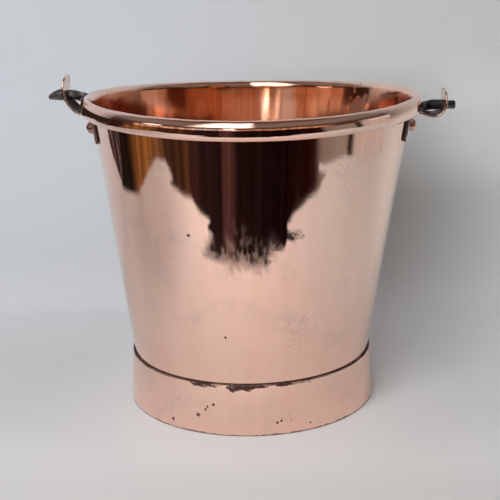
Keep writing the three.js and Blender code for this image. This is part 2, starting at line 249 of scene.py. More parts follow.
@dataclass(frozen=True)
class HandWork:
    """How far the hand-made bucket is off true: its rim is bent to a saddle, tilted and set over."""

    saddle: float = 2.2
    tilt: float = 0.006
    bend_start: float = 60.0
    bend_full: float = 225.0
    shift: float = 4.3
    foot_height: float = 45.5
    roll_height: float = 267.6

    def bend(self, points: Array) -> Array:
        """Moves points of the true bucket to their real place.

        Height z rises by s (saddle cos 2t - tilt x), where s eases from 0 to 1 between the bend's heights and
        t is the turn, and x grows by shift (z - foot) / (roll - foot).

        Args:
            points: points in millimetres, with x, y and z last.

        Returns:
            The moved points.
        """
        x, y, z = points[..., 0], points[..., 1], points[..., 2]
        share = smoothstep(z, self.bend_start, self.bend_full)
        lift = share * (self.saddle * np.cos(2.0 * np.arctan2(y, x)) - self.tilt * x)
        over = np.maximum(0.0, (z - self.foot_height) / (self.roll_height - self.foot_height))
        return np.stack([x + self.shift * over, y, z + lift], -1)


def to_frame(points: Array) -> Array:
    """Returns points in the model's frame, in metres, from millimetres about the bucket's axis."""
    return (points + np.array([AXIS_X, AXIS_Y, 0.0])).reshape(-1, 3) * MM


def standing(at: Array, out: Vector) -> Matrix:
    """Returns the place at a point given about the bucket's axis, with Z along a direction."""
    return Matrix.Translation(to_frame(at)[0].tolist()) @ out.to_track_quat("Z", "Y").to_matrix().to_4x4()


@dataclass(frozen=True)
class SheetSection:
    """The section across a strip of sheet with rounded edges, in shares of half its width and thickness."""

    across: int = 24
    corner_steps: int = 5

    def factors(self) -> Array:
        """Lists the section's points as a, cos f, c, sin f.

        They stand for y = a (w - r) + r cos f and n = c (t - r) + r sin f. The first half runs along the
        front face and the second half back along the rear face, point for point.

        Returns:
            Four factors for each point, one point in each row.
        """
        corner = np.linspace(0.0, math.pi / 2.0, self.corner_steps)
        flat = np.linspace(1.0, -1.0, self.across)[1:-1]
        right = table(1.0, np.cos(corner), 1.0, np.sin(corner))
        face = table(flat, 0.0, 1.0, 1.0)
        left = right[::-1] * np.array([-1.0, -1.0, 1.0, 1.0])
        front = np.concatenate([right, face, left])
        return np.concatenate([front, front[::-1] * np.array([1.0, 1.0, -1.0, -1.0])])

    def offsets(self, width: Array, thick: Array, radius: float) -> tuple[Array, Array]:
        """Places the section's points across a strip and through it.

        Args:
            width: half the strip's width at each of its rows.
            thick: half its thickness there.
            radius: of its rounded edges.

        Returns:
            How far across and how far out each point lies, with a row for each row of the strip.
        """
        a, cos_f, c, sin_f = self.factors().T
        width, thick = width[:, None], thick[:, None]
        inner = np.minimum(radius, thick)
        return a * (width - inner) + inner * cos_f, c * (thick - inner) + inner * sin_f


def sheet_rows(length: float, steps: int, radius: float) -> tuple[Array, Array]:
    """Ways along a strip, closer together where its two ends are rounded over.

    Args:
        length: of the strip.
        steps: number of rows between the two ends.
        radius: of the rounding.

    Returns:
        The way along of each row, and how much the sheet has drawn in there, 0 to radius, as r (1 - sin f).
    """
    f = np.linspace(0.0, math.pi / 2.0, 5)[:-1]
    near, drawn = radius * (1.0 - np.cos(f)), radius * (1.0 - np.sin(f))
    middle = np.linspace(radius, length - radius, steps)
    along = np.concatenate([near, middle, length - near[::-1]])
    return along, np.concatenate([drawn, np.zeros(steps), drawn[::-1]])


def closed_strip(name: str, grid: Array, sharp: float) -> Object:
    """Makes a piece from rows of closed sections whose two halves face each other, and closes both ends.

    Args:
        name: of the piece.
        grid: its points as (rows, section, 3), in metres.
        sharp: edges that bend by more degrees than this are shaded sharp.

    Returns:
        The mesh object.
    """
    rows, count = grid.shape[:2]
    i = np.arange(count // 2 - 1)
    cap = np.stack([i, i + 1, count - 2 - i, count - 1 - i], -1)
    body = quads(rows, count, False, True)
    faces = np.concatenate([body, cap[:, ::-1], cap + (rows - 1) * count])
    return mesh_object(name, grid.reshape(-1, 3), [faces], sharp)


def applied(piece: Object) -> Object:
    """Puts what a piece's modifiers make into its mesh and takes the modifiers off.

    Args:
        piece: the mesh object.

    Returns:
        The same object.
    """
    graph = bpy.context.evaluated_depsgraph_get()
    made = bpy.data.meshes.new_from_object(piece.evaluated_get(graph))
    old, piece.data = piece.data, made
    made.name = piece.name
    piece.modifiers.clear()
    bpy.data.meshes.remove(old)
    return piece


def cut_or_join(piece: Object, tools: list[Object], operation: str) -> Object:
    """Joins closed pieces to another or cuts them out of it, and deletes them.

    Args:
        piece: the piece that is kept.
        tools: the pieces that are joined to it or cut out of it.
        operation: UNION or DIFFERENCE.

    Returns:
        The kept piece.
    """
    for tool in tools:
        step = piece.modifiers.new(operation.lower(), "BOOLEAN")
        step.object = tool
        step.operation = operation
        step.solver = "EXACT"
    bpy.context.view_layer.update()
    applied(piece)
    for tool in tools:
        mesh = tool.data
        bpy.data.objects.remove(tool)
        bpy.data.meshes.remove(mesh)
    return piece


def capped_rings(name: str, rings: Array, ends: Array) -> Object:
    """Makes a closed piece from rings of points, with a fan of faces to one point at each end.

    Args:
        name: of the piece.
        rings: its points as (rings, points in a ring, 3), in millimetres.
        ends: the two end points.

    Returns:
        The mesh object.
    """
    rows, count = rings.shape[:2]
    points = np.concatenate([rings.reshape(-1, 3), ends]) * MM
    ring = np.arange(count)
    after = (ring + 1) % count
    last = (rows - 1) * count
    first_fan = table(rows * count, after, ring)
    last_fan = table(rows * count + 1, last + ring, last + after)
    return mesh_object(name, points, [quads(rows, count, False, True), first_fan, last_fan])


def turned_solid(name: str, profile: Array, steps: int, shape: Matrix | None = None) -> Object:
    """Turns a profile that starts and ends on the axis into a closed solid about Z.

    Args:
        name: of the piece.
        profile: radius and height of each point, with radius 0 at both ends.
        steps: round the axis.
        shape: where to put it, in metres, or None to leave it.

    Returns:
        The mesh object.
    """
    grid, _ = turned_grid(profile[1:-1], steps)
    poles = np.array([[0.0, 0.0, profile[0, 1]], [0.0, 0.0, profile[-1, 1]]])
    piece = capped_rings(name, grid, poles)
    if shape is not None:
        piece.data.transform(shape)
        if shape.determinant() < 0:
            piece.data.flip_normals()
    return piece


# Finishes


def rgba(colour: Triple) -> tuple[float, float, float, float]:
    """Returns the colour with full cover."""
    return (*colour, 1.0)


class Graph:
    """The nodes of a material, or of the world, being put together."""

    def __init__(self, name: str, world: bool = False) -> None:
        """Starts an empty material, or world, with its output and the coordinates that it reads."""
        self.made = (bpy.data.worlds if world else bpy.data.materials).new(name)
        self.made.use_nodes = True
        self.tree = self.made.node_tree
        self.tree.nodes.clear()
        self.output = self.tree.nodes.new("ShaderNodeOutputWorld" if world else "ShaderNodeOutputMaterial")
        self.place = self.tree.nodes.new("ShaderNodeTexCoord").outputs["Generated" if world else "Object"]

    def add(self, kind: str, values: dict | None = None, **settings: object) -> bpy.types.Node:
        """Adds a node, sets what it has, and links or sets its inputs.

        Args:
            kind: the node's type.
            values: its inputs by name or number, each a socket to link or a value to set.
            settings: the node's own settings by name.

        Returns:
            The node.
        """
        node = self.tree.nodes.new(kind)
        for name, value in settings.items():
            setattr(node, name, value)
        for key, value in (values or {}).items():
            if isinstance(value, Socket):
                self.tree.links.new(value, node.inputs[key])
            else:
                node.inputs[key].default_value = value
        return node

    def maths(self, operation: str, a: object, b: object = 0.0, clamp: bool = False) -> Socket:
        """Returns the socket of an operation on two values."""
        return self.add("ShaderNodeMath", {0: a, 1: b}, operation=operation, use_clamp=clamp).outputs[0]

    def plus(self, *values: object) -> Socket:
        """Returns the socket of the values' sum."""
        total = values[0]
        for value in values[1:]:
            total = self.maths("ADD", total, value)
        return total

    def times(self, *values: object) -> Socket:
        """Returns the socket of the values' product."""
        total = values[0]
        for value in values[1:]:
            total = self.maths("MULTIPLY", total, value)
        return total

    def vector(self, operation: str, a: Socket, b: Triple = (0.0, 0.0, 0.0)) -> bpy.types.Node:
        """Returns the node of an operation on two vectors."""
        return self.add("ShaderNodeVectorMath", {0: a, 1: b}, operation=operation)

    def away(self, point: Triple) -> Socket:
        """Returns the distance from a point, in metres."""
        return self.vector("DISTANCE", self.place, point).outputs["Value"]

    def split(self) -> tuple[Socket, Socket, Socket]:
        """Returns x, y and z, in metres in a material and of the direction seen in the world."""
        parts = self.add("ShaderNodeSeparateXYZ", {0: self.place}).outputs
        return parts["X"], parts["Y"], parts["Z"]

    def turn(self) -> Socket:
        """Returns the turn about the frame's upright axis, in radians from the front to the right."""
        x, y, _ = self.split()
        return self.maths("ARCTAN2", x, self.times(y, -1.0))

    def stretched(self, scale: Triple) -> Socket:
        """Returns the object's coordinates, drawn out or squeezed along each direction."""
        return self.add("ShaderNodeMapping", {"Vector": self.place, "Scale": scale}).outputs[0]

    def noise(self, where: Socket, scale: float, detail: float = 3.0, rough: float = 0.5) -> Socket:
        """Returns a noise between 0 and 1.

        Args:
            where: the coordinates it reads.
            scale: lumps in a metre.
            detail: how many finer layers it has.
            rough: how strong those are.

        Returns:
            The socket of its value.
        """
        values = {"Vector": where, "Scale": scale, "Detail": detail, "Roughness": rough}
        return self.add("ShaderNodeTexNoise", values).outputs["Fac"]

    def spread(self, value: Socket, low: float, high: float, out_low: float, out_high: float) -> Socket:
        """Carries low to out_low and high to out_high smoothly, and stays there beyond.

        Args:
            value: the socket to read.
            low: where the change starts.
            high: where it ends.
            out_low: value up to the start.
            out_high: value after the end.

        Returns:
            The socket of the result.
        """
        values = {"Value": value, "From Min": low, "From Max": high, "To Min": out_low, "To Max": out_high}
        return self.add("ShaderNodeMapRange", values, interpolation_type="SMOOTHSTEP").outputs["Result"]

    def rise(self, value: Socket, low: float, high: float) -> Socket:
        """Returns 0 up to low, easing to 1 from high on."""
        return self.spread(value, low, high, 0.0, 1.0)

    def fall(self, value: Socket, low: float, high: float) -> Socket:
        """Returns 1 up to low, easing to 0 from high on."""
        return self.spread(value, low, high, 1.0, 0.0)

    def near(self, middle: Triple, core: float, reach: float, flat: float, lumps: float) -> Socket:
        """Says how near the surface is to a point: 1 in the core, 0 beyond the reach, with an uneven border.

        Args:
            middle: the point, in metres.
            core: distance up to which it is 1.
            reach: distance from which it is 0.
            flat: how much lower than wide the place is.
            lumps: lumps in a metre along its border.

        Returns:
            The socket of the nearness.
        """
        apart = self.vector("SUBTRACT", self.place, middle).outputs["Vector"]
        apart = self.vector("MULTIPLY", apart, (1.0, 1.0, flat)).outputs["Vector"]
        uneven = self.spread(self.noise(self.place, lumps, 2.0, 0.5), 0.3, 0.7, 0.65, 1.35)
        return self.fall(self.times(self.vector("LENGTH", apart).outputs["Value"], uneven), core, reach)

    def blend(self, factor: object, a: object, b: object, mode: str = "MIX") -> Socket:
        """Returns the colour between a and b at that factor, or with MULTIPLY from a to their product."""
        node = self.add("ShaderNodeMix", {0: factor, 6: a, 7: b}, data_type="RGBA", blend_type=mode)
        return node.outputs[2]

    def ramp(self, value: Socket, stops: list[tuple[float, Triple]]) -> Socket:
        """Returns the colour at a value from 0 to 1, from stops with their colours in rising order."""
        node = self.add("ShaderNodeValToRGB", {"Fac": value})
        elements = node.color_ramp.elements
        for extra in range(len(stops) - 2):
            elements.new((extra + 1) / len(stops))
        for element, (position, colour) in zip(elements, stops):
            element.position = position
            element.color = rgba(colour)
        return node.outputs["Color"]

    def height(self) -> Socket:
        """Returns z: the height above the floor in metres, or in the world how far a direction points up."""
        return self.split()[2]

    def end(self, surface: Socket) -> Material | bpy.types.World:
        """Links the surface to the output and returns what was made."""
        self.tree.links.new(surface, self.output.inputs["Surface"])
        return self.made

    def glow(self, tone: object, strength: object = 1.0) -> Material:
        """Ends as a surface that only gives off its tone, and returns the material."""
        return self.end(self.add("ShaderNodeEmission", {"Color": tone, "Strength": strength}).outputs[0])

    def metal(self, colour: Socket, metal: Socket, rough: Socket, height: Socket, depth: float) -> Material:
        """Ends as a metal whose fine relief bends what it mirrors.

        Args:
            colour: of the metal.
            metal: 1 where it is bare, less under grime and painted shade.
            rough: its roughness.
            height: the relief, where 1 stands one depth higher than 0.
            depth: of the relief, in metres.

        Returns:
            The material.
        """
        bump = self.add("ShaderNodeBump", {"Height": height, "Strength": 1.0, "Distance": depth})
        values = {"Base Color": colour, "Metallic": metal, "Roughness": rough, "Normal": bump.outputs[0]}
        return self.end(self.add("ShaderNodeBsdfPrincipled", values).outputs[0])


@dataclass(frozen=True)
class Band:
    """A dark level line: its height, half width and raggedness in metres, and its strength.

    At the seam above the foot band it is grime with painted shade between the parts.
    """

    height: float
    width: float
    ragged: float
    strength: float = 1.0


@dataclass(frozen=True)
class Patch:
    """A place with dark specks: its middle and radius in metres, and how much lower it is than wide.

    Most are grime; at the ear plates' front ends and on the inside wall at the right they are painted shade,
    and round the front rivets grime with painted shade.

    There are specks lumps in a metre, strength is their cover, and the more is bare the fewer they are. In a
    hollow, specks stands for the lumps along its border and bare isn't used.
    """

    middle: Triple
    radius: float
    flat: float = 1.5
    specks: float = 420.0
    strength: float = 0.9
    bare: float = 0.6


@dataclass(frozen=True)
class Spot:
    """A single pit or splash: its middle and radius in metres, and its colour."""

    middle: Triple
    radius: float
    tone: Triple = (0.06, 0.022, 0.016)


@dataclass(frozen=True)
class Bruise:
    """A place that was knocked and beaten out: middle and radius in metres, the dents' height and the scuffs.

    The grain of its dents and of its scuffs is given as for a finish.
    """

    middle: Triple
    radius: float
    height: float
    scuff: float
    dents: Triple = (56.0, 0.8, 0.4)
    scuffs: Triple = (300.0, 3.0, 0.6)


@dataclass(frozen=True)
class CopperFinish:
    """Polished copper: its colours, haze, streaks, waves, bruises, grime and painted shade.

    Grime with painted shade lies in its seams and in the hollow under each end of the bail, and some speckled
    patches are painted shade. Inside the bucket the copper is painted darker and redder as shade, darker
    still just under the rim, with darker upright bars as painted reflections. Each grain is given as the
    lumps in a metre, the number of finer layers and their strength, and streak, rub and bar are how far a
    grain is squeezed along x, y and z.
    """

    name: str
    bright: Triple = (0.98, 0.665, 0.55)
    warm: Triple = (0.95, 0.59, 0.46)
    tarnish: Triple = (0.66, 0.51, 0.44)
    dirt_and_painted_shade: Triple = (0.050, 0.018, 0.014)
    smooth: float = 0.035
    hazy: float = 0.105
    clouds: Triple = (13.0, 4.0, 0.55)
    stains: Triple = (31.0, 5.0, 0.65)
    streaks: Triple = (95.0, 3.0, 0.6)
    streak: Triple = (1.0, 1.0, 0.07)
    rubs: Triple = (70.0, 4.0, 0.7)
    rub: Triple = (1.0, 1.0, 14.0)
    # The inner tones, bars and rim_shade paint the shade and reflections inside the bucket
    inner: Triple | None = None
    inner_painted_shade: Triple = (0.62, 0.215, 0.105)
    inner_rough: float = 0.08
    bars: Triple = (22.0, 3.0, 0.55)
    bar: Triple = (1.0, 1.0, 0.15)
    rim_shade: Pair = (0.250, 0.262)
    relief: float = 0.0016
    ripple: float = 0.05
    dimple: float = 0.011
    rubbed: float = 0.0045
    grainy: float = 0.0015
    sunk: float = 0.08
    bands: tuple[Band, ...] = ()
    patches: tuple[Patch, ...] = ()
    hollows: tuple[Patch, ...] = ()
    spots: tuple[Spot, ...] = ()
    bruises: tuple[Bruise, ...] = ()

    def material(self) -> Material:
        """Puts the finish together.

        Clouds and upright streaks mix the two coppers, the tarnish and the haze, level rubbing marks and a
        fine ripple bend the reflections, grime and painted shade lie in level bands, specks and hollow
        places, grime lies in pits, and inside the bucket painted shade and painted reflections darken the
        copper.

        Returns:
            The material.
        """
        g = Graph(self.name)
        stains = g.noise(g.place, *self.stains)
        rubs = g.noise(g.stretched(self.rub), *self.rubs)
        cloudy = g.spread(g.noise(g.place, *self.clouds), 0.4, 0.75, 0.0, 0.45)
        streaky = g.spread(g.noise(g.stretched(self.streak), *self.streaks), 0.4, 0.8, 0.0, 0.55)
        mixed = g.plus(cloudy, streaky)
        colour = g.blend(mixed, rgba(self.bright), rgba(self.warm))
        colour = g.blend(g.spread(stains, 0.5, 0.8, 0.0, 0.55), colour, rgba(self.tarnish))
        rough = g.spread(g.plus(mixed, g.spread(rubs, 0.45, 0.8, 0.0, 0.4)), 0.0, 1.2, self.smooth, self.hazy)
        # Inside the bucket: painted shade darkens and reddens the copper, more just under the rim, with
        # darker upright bars as painted reflections
        if self.inner is not None:
            inside = g.add("ShaderNodeAttribute", attribute_name="inside").outputs["Fac"]
            painted_reflection_bars = g.rise(g.noise(g.stretched(self.bar), *self.bars), 0.40, 0.66)
            painted_shade_under_rim = g.spread(g.height(), *self.rim_shade, 0.0, 0.6)
            painted_shade_under_rim = g.times(painted_shade_under_rim, g.spread(stains, 0.3, 0.6, 0.2, 1.0))
            dark = g.maths("ADD", painted_reflection_bars, painted_shade_under_rim, clamp=True)
            colour = g.blend(inside, colour, g.blend(dark, rgba(self.inner), rgba(self.inner_painted_shade)))
            rough = g.plus(rough, g.times(inside, self.inner_rough))
        # Grime and painted shade together: the seam bands and the hollow places under the bail are grime with
        # painted shade, and some patches are painted shade
        dirt_and_painted_shade = self.dirt_and_painted_shade_amount(g)
        colour = g.blend(dirt_and_painted_shade, colour, rgba(self.dirt_and_painted_shade))
        pits = 0.0
        for spot in self.spots:
            mark = g.near(spot.middle, spot.radius * 0.55, spot.radius * 1.25, 1.0, 900.0)
            colour = g.blend(mark, colour, rgba(spot.tone))
            pits = g.maths("MAXIMUM", mark, pits)
        rough = g.plus(rough, g.times(g.maths("MAXIMUM", dirt_and_painted_shade, pits), 0.35))
        height = g.plus(
            g.times(g.noise(g.place, 34.0, 2.0, 0.4), self.ripple),
            g.times(g.noise(g.place, 105.0, 2.0, 0.5), self.dimple),
            g.times(rubs, self.rubbed),
            g.times(g.noise(g.place, 900.0, 2.0, 0.5), self.grainy),
        )
        sunk = g.maths("MAXIMUM", g.times(dirt_and_painted_shade, g.noise(g.place, 420.0, 3.0, 0.6)), pits)
        height = g.maths("SUBTRACT", height, g.times(sunk, self.sunk))
        for bruise in self.bruises:
            where = g.near(bruise.middle, bruise.radius * 0.35, bruise.radius, 1.3, 60.0)
            dents = g.noise(g.stretched((0.8, 0.8, 1.0)), *bruise.dents)
            height = g.plus(height, g.times(where, g.spread(dents, 0.38, 0.66, 0.0, bruise.height)))
            scuffs = g.noise(g.stretched((1.0, 1.0, 0.30)), *bruise.scuffs)
            rough = g.plus(rough, g.times(where, g.spread(scuffs, 0.36, 0.68, 0.03, bruise.scuff)))
        return g.metal(colour, g.spread(dirt_and_painted_shade, 0.0, 1.0, 1.0, 0.25), rough, height, self.relief)

    def dirt_and_painted_shade_amount(self, g: Graph) -> Socket:
        """Takes the strongest of fine grime specks, dark level bands, speckled patches and hollow places.

        The bands and the hollow places are grime with painted shade, and some patches are painted shade.

        Args:
            g: the material being put together.

        Returns:
            The socket of the amount, from 0 to 1.
        """
        total = g.spread(g.noise(g.place, 640.0, 2.0, 0.5), 0.79, 0.84, 0.0, 0.7)
        ragged = g.rise(g.noise(g.stretched((1.0, 1.0, 2.5)), 110.0, 4.0, 0.75), 0.42, 0.72)
        for band in self.bands:
            away = g.maths("ABSOLUTE", g.maths("SUBTRACT", g.height(), band.height))
            away = g.maths("SUBTRACT", away, g.times(ragged, band.ragged))
            line = g.spread(away, band.width * 0.5, band.width, band.strength, 0.0)
            total = g.maths("MAXIMUM", total, line)
        for patch in self.patches:
            where = g.near(patch.middle, patch.radius * 0.35, patch.radius, patch.flat, 150.0)
            grain = g.noise(g.stretched((1.0, 1.0, 2.2)), patch.specks, 4.0, 0.7)
            limit = g.maths("SUBTRACT", 1.0, g.times(where, 1.0 - patch.bare))
            speck = g.spread(g.maths("SUBTRACT", grain, limit), -0.03, 0.09, 0.0, patch.strength)
            total = g.maths("MAXIMUM", total, speck)
        if self.hollows:
            normal = g.add("ShaderNodeNewGeometry").outputs["Normal"]
            upward = g.rise(g.add("ShaderNodeSeparateXYZ", {0: normal}).outputs["Z"], 0.02, 0.3)
        for hollow in self.hollows:
            where = g.near(hollow.middle, hollow.radius * 0.75, hollow.radius, hollow.flat, hollow.specks)
            total = g.maths("MAXIMUM", total, g.times(where, upward, hollow.strength))
        return total


@dataclass(frozen=True)
class IronFinish:
    """Forged iron: dark scale with bright worn places."""

    name: str
    scale: Triple = (0.022, 0.021, 0.024)
    bare: Triple = (0.20, 0.195, 0.20)
    lumps: float = 120.0
    relief: float = 0.0009

    def material(self) -> Material:
        """Puts the finish together from bare metal, dark scale between rubbed places, and a forged surface.

        Returns:
            The material.
        """
        g = Graph(self.name)
        clouds = g.noise(g.place, 55.0, 4.0, 0.6)
        pits = g.noise(g.place, self.lumps * 4.0, 3.0, 0.6)
        worn = g.rise(g.plus(g.times(clouds, 0.7), g.times(pits, 0.3)), 0.44, 0.60)
        colour = g.blend(worn, rgba(self.scale), rgba(self.bare))
        rough = g.spread(worn, 0.0, 1.0, 0.55, 0.30)
        metal = g.spread(worn, 0.0, 1.0, 0.55, 1.0)
        height = g.plus(g.times(g.noise(g.place, self.lumps, 3.0, 0.5), 0.6), g.times(pits, 0.25))
        return g.metal(colour, metal, rough, height, self.relief)


def dress(piece: Object, body: str, slot: str, material: Material, *nodes: str) -> None:
    """Gives a piece its finish and its body, hides the nodes that it stands for, and reports it.

    Args:
        piece: the mesh object.
        body: the body that it moves with.
        slot: the record's material slot; not used.
        material: its finish.
        nodes: the model's nodes that it replaces.
    """
    piece.data.materials.clear()
    piece.data.materials.append(material)
    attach(piece, body)
    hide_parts(*nodes)
    low, high = piece.bound_box[0], piece.bound_box[6]
    log.info(
        "%s: %d faces, %.1f x %.1f x %.1f mm",
        piece.name,
        len(piece.data.polygons),
        *((high[k] - low[k]) / MM for k in range(3)),
    )


# The bucket


@dataclass
class Vessel:
    """The wall with its rolled rim, the foot band and the base."""

    hand: HandWork = field(default_factory=HandWork)
    sheet: float = 1.5
    clearance: float = 0.3
    mouth_radius: float = 139.7
    roll_height: float = 267.6
    roll_a: float = 5.2
    roll_b: float = 8.0
    roll_slit: float = 0.8
    foot_radius: float = 113.0
    foot_top_radius: float = 110.6
    foot_height: float = 45.5
    foot_sheet: float = 2.0
    foot_lap: float = 18.0
    base_flange: float = 9.0
    base_corner: float = 2.5
    columns: int = 384
    wall_waves: tuple[Waves, ...] = (
        Waves(0.42, 0.0065, 11, (3, 34), 0.075),
        Waves(0.30, 0.0045, 12, (20, 60), 0.012),
    )
    wall_rise: Pair = (40.0, 70.0)
    roll_waves: Waves = Waves(0.30, 0.035, 15, (5, 60), 0.01)
    roll_share: float = 0.35
    roll_margin: float = 2.0
    facets: tuple[Waves, ...] = (
        Waves(0.5, 0.034, 17, (7, 26), 0.012),
        Waves(0.2, 0.022, 18, (34, 90), 0.10),
    )
    facets_rise: Pair = (45.0, 60.0)
    inside_reach: int = 16
    inside_fade: Pair = (1.0, 5.0)
    foot_wear: float = 0.5
    foot_waves: Waves = Waves(0.16, 0.006, 21, (3, 30), 0.10)
    foot_rise: Pair = (0.0, 12.0)
    foot_fade: Pair = (36.0, 44.0)
    dish_waves: Waves = Waves(0.35, 0.009, 31, (0, 9), 0.14)
    dish_rise: Pair = (2.0, 24.0)
    dish_fade: Pair = (88.0, 102.0)
    dish_depth: float = 0.45

    @property
    def slope(self) -> float:
        """The wall's growth in radius for each millimetre of height."""
        return (self.mouth_radius - self.lap_inner(self.foot_height)) / (self.roll_height - self.foot_height)

    @property
    def across(self) -> float:
        """The wall's thickness measured level."""
        return self.sheet * math.hypot(1.0, self.slope)

    @property
    def roll_reach(self) -> float:
        """From the wall's inside line to the roll's middle, where the oval touches that line."""
        return math.hypot(self.roll_a, self.slope * self.roll_b)

    @property
    def roll_radius(self) -> float:
        """Radius of the roll's middle."""
        return self.mouth_radius + self.roll_reach

    def foot_outer(self, z: float) -> float:
        """Returns the foot band's outer radius at a height."""
        return self.foot_radius + (self.foot_top_radius - self.foot_radius) * z / self.foot_height

    def lap_outer(self, z: float) -> float:
        """Returns the outer radius of what laps inside the foot band."""
        return self.foot_outer(z) - self.foot_sheet - self.clearance

    def lap_inner(self, z: float) -> float:
        """Returns the inner radius of what laps inside the foot band."""
        return self.lap_outer(z) - self.sheet

    def wall_inner(self, z: float) -> float:
        """Returns the wall's inner radius at a height."""
        return self.mouth_radius + self.slope * (z - self.roll_height)

    def wall_outer(self, z: float) -> float:
        """Returns the wall's outer radius at a height."""
        return self.wall_inner(z) + self.across

    def oval(self, turn: Array, inset: float) -> Array:
        """Points on the roll's oval: (R + (a - i) cos t, H + (b - i) sin t).

        Args:
            turn: the turns t about the roll's middle.
            inset: how far inside the roll's surface.

        Returns:
            Radius and height of each point.
        """
        radius = self.roll_radius + (self.roll_a - inset) * np.cos(turn)
        return np.stack([radius, self.roll_height + (self.roll_b - inset) * np.sin(turn)], -1)

    def wall_profile(self) -> tuple[Array, Array]:
        """The wall's closed section: up its inside, over the roll to its edge, back and down its outside.

        Returns:
            Radius and height of each point, and how much of the waves it takes: less on the roll.
        """
        lean = math.atan2(self.slope * self.roll_b, self.roll_a)
        contact = math.pi - lean
        tuck = lean + math.asin((self.roll_reach - self.across - self.roll_slit) / self.roll_reach)
        edge = -math.pi / 2.0 - tuck
        lap_end = self.foot_height - self.foot_lap
        over = self.oval(np.linspace(contact, edge, 64), 0.0)
        back = self.oval(np.linspace(edge, contact, 28), self.sheet)
        inside = resample(
            [
                (self.lap_outer(lap_end), lap_end),
                (self.lap_inner(lap_end), lap_end),
                (self.lap_inner(self.foot_height), self.foot_height),
                (float(over[0, 0]), float(over[0, 1])),
            ],
            3.4,
        )
        outside = resample(
            [
                (float(back[-1, 0]), float(back[-1, 1])),
                (self.wall_outer(self.foot_height), self.foot_height),
                (self.lap_outer(lap_end), lap_end),
            ],
            3.0,
        )
        profile = np.concatenate([inside[:-1], over, back[:-1], outside[:-1]])
        share = np.ones(len(profile))
        start = len(inside) - 1
        share[start : start + len(over) + len(back) - 1] = self.roll_share
        return profile, share

    def wall(self) -> Object:
        """Makes the wall with its rolled rim as one closed sheet, with waves in both faces alike."""
        profile, share = self.wall_profile()
        inside_rows = int(np.argmax(share < 1.0))
        grid, turn = turned_grid(profile, self.columns)
        around, height = turn[None, :], grid[..., 2]
        swell = sum(some.at(around, height) for some in self.wall_waves)
        swell *= share[:, None] * smoothstep(height, *self.wall_rise)
        push_out(grid, turn, swell)
        roll_swell = self.roll_waves.at(around, height * 0.0)
        roll_start = self.roll_height - self.roll_b - self.roll_margin
        on_roll = (1.0 - share[:, None]) * smoothstep(height, roll_start, self.roll_height)
        grid[..., 2] += roll_swell * on_roll
        # inside marks the inner wall and the roll's inner flank, where the finish paints the shade and
        # reflections of the bucket's inside
        inside = np.zeros(len(profile))
        reach = inside_rows + self.inside_reach
        inside[:reach] = 1.0 - smoothstep(np.arange(reach) - inside_rows, *self.inside_fade)
        facets = sum(some.at(around, height) for some in self.facets)
        push_out(grid, turn, facets * inside[:, None] * smoothstep(height, *self.facets_rise))
        faces = quads(len(profile), self.columns, True, True)
        piece = mesh_object("bucket_wall", to_frame(self.hand.bend(grid)), [faces])
        mark = piece.data.attributes.new("inside", "FLOAT", "POINT")
        mark.data.foreach_set("value", np.repeat(inside, self.columns))
        return piece

    def foot(self) -> Object:
        """Makes the foot band, with its upper edge rounded over and its lower edge worn."""
        half = self.foot_sheet / 2.0
        shoulder = self.foot_height - half
        middle = self.foot_outer(shoulder) - half
        round_top = np.linspace(0.0, math.pi, 12)
        top = np.stack([middle + half * np.cos(round_top), shoulder + half * np.sin(round_top)], -1)
        wear = self.foot_wear
        worn = np.linspace(-math.pi / 2.0, 0.0, 6)
        centre = self.foot_outer(0.0) - wear
        low_out = np.stack([centre + wear * np.cos(worn), wear + wear * np.sin(worn)], -1)
        outer = resample([tuple(low_out[-1]), tuple(top[0])], 1.6)
        inner = resample([tuple(top[-1]), (self.foot_outer(0.0) - self.foot_sheet, 0.0)], 3.0)
        profile = np.concatenate([low_out, outer[1:-1], top, inner[1:]])
        grid, turn = turned_grid(profile, self.columns)
        height = grid[..., 2]
        swell = self.foot_waves.at(turn[None, :], height)
        swell *= smoothstep(height, *self.foot_rise) * (1.0 - smoothstep(height, *self.foot_fade))
        push_out(grid, turn, swell)
        return mesh_object("bucket_foot", to_frame(grid), [quads(len(profile), self.columns, True, True)])

    def base(self) -> Object:
        """Makes the base: a disc with its edge turned down, a little dished by its planishing."""
        lap_end = self.foot_height - self.foot_lap
        top = lap_end + self.base_flange
        edge_top = self.lap_inner(top) - self.clearance
        edge_low = self.lap_inner(lap_end) - self.clearance
        corner = np.linspace(0.0, math.pi / 2.0, 8)
        centre, low = edge_top - self.base_corner, top - self.base_corner
        outer = table(centre + self.base_corner * np.cos(corner), low + self.base_corner * np.sin(corner))
        disc = resample([(0.0, top - self.sheet), (centre, top - self.sheet)], 2.6)
        inner = np.array([(edge_top - self.sheet, low), (edge_low - self.sheet, lap_end)])
        skirt = np.array([(edge_low, lap_end)])
        lid = resample([(centre, top), (0.0, top)], 2.6)
        profile = np.concatenate([disc, inner, skirt, outer, lid[1:]])
        piece = turned_solid("bucket_base", profile, 240)
        count = len(piece.data.vertices)
        points = np.empty(count * 3)
        piece.data.vertices.foreach_get("co", points)
        points = points.reshape(-1, 3) / MM
        turn = np.arctan2(points[:, 1], points[:, 0])
        radius = np.hypot(points[:, 0], points[:, 1])
        dish = self.dish_waves.at(turn, radius) * smoothstep(radius, *self.dish_rise)
        dish *= 1.0 - smoothstep(radius, *self.dish_fade)
        points[:, 2] += np.maximum(dish, -self.dish_depth)
        piece.data.vertices.foreach_set("co", to_frame(points).ravel())
        piece.data.update()
        return piece


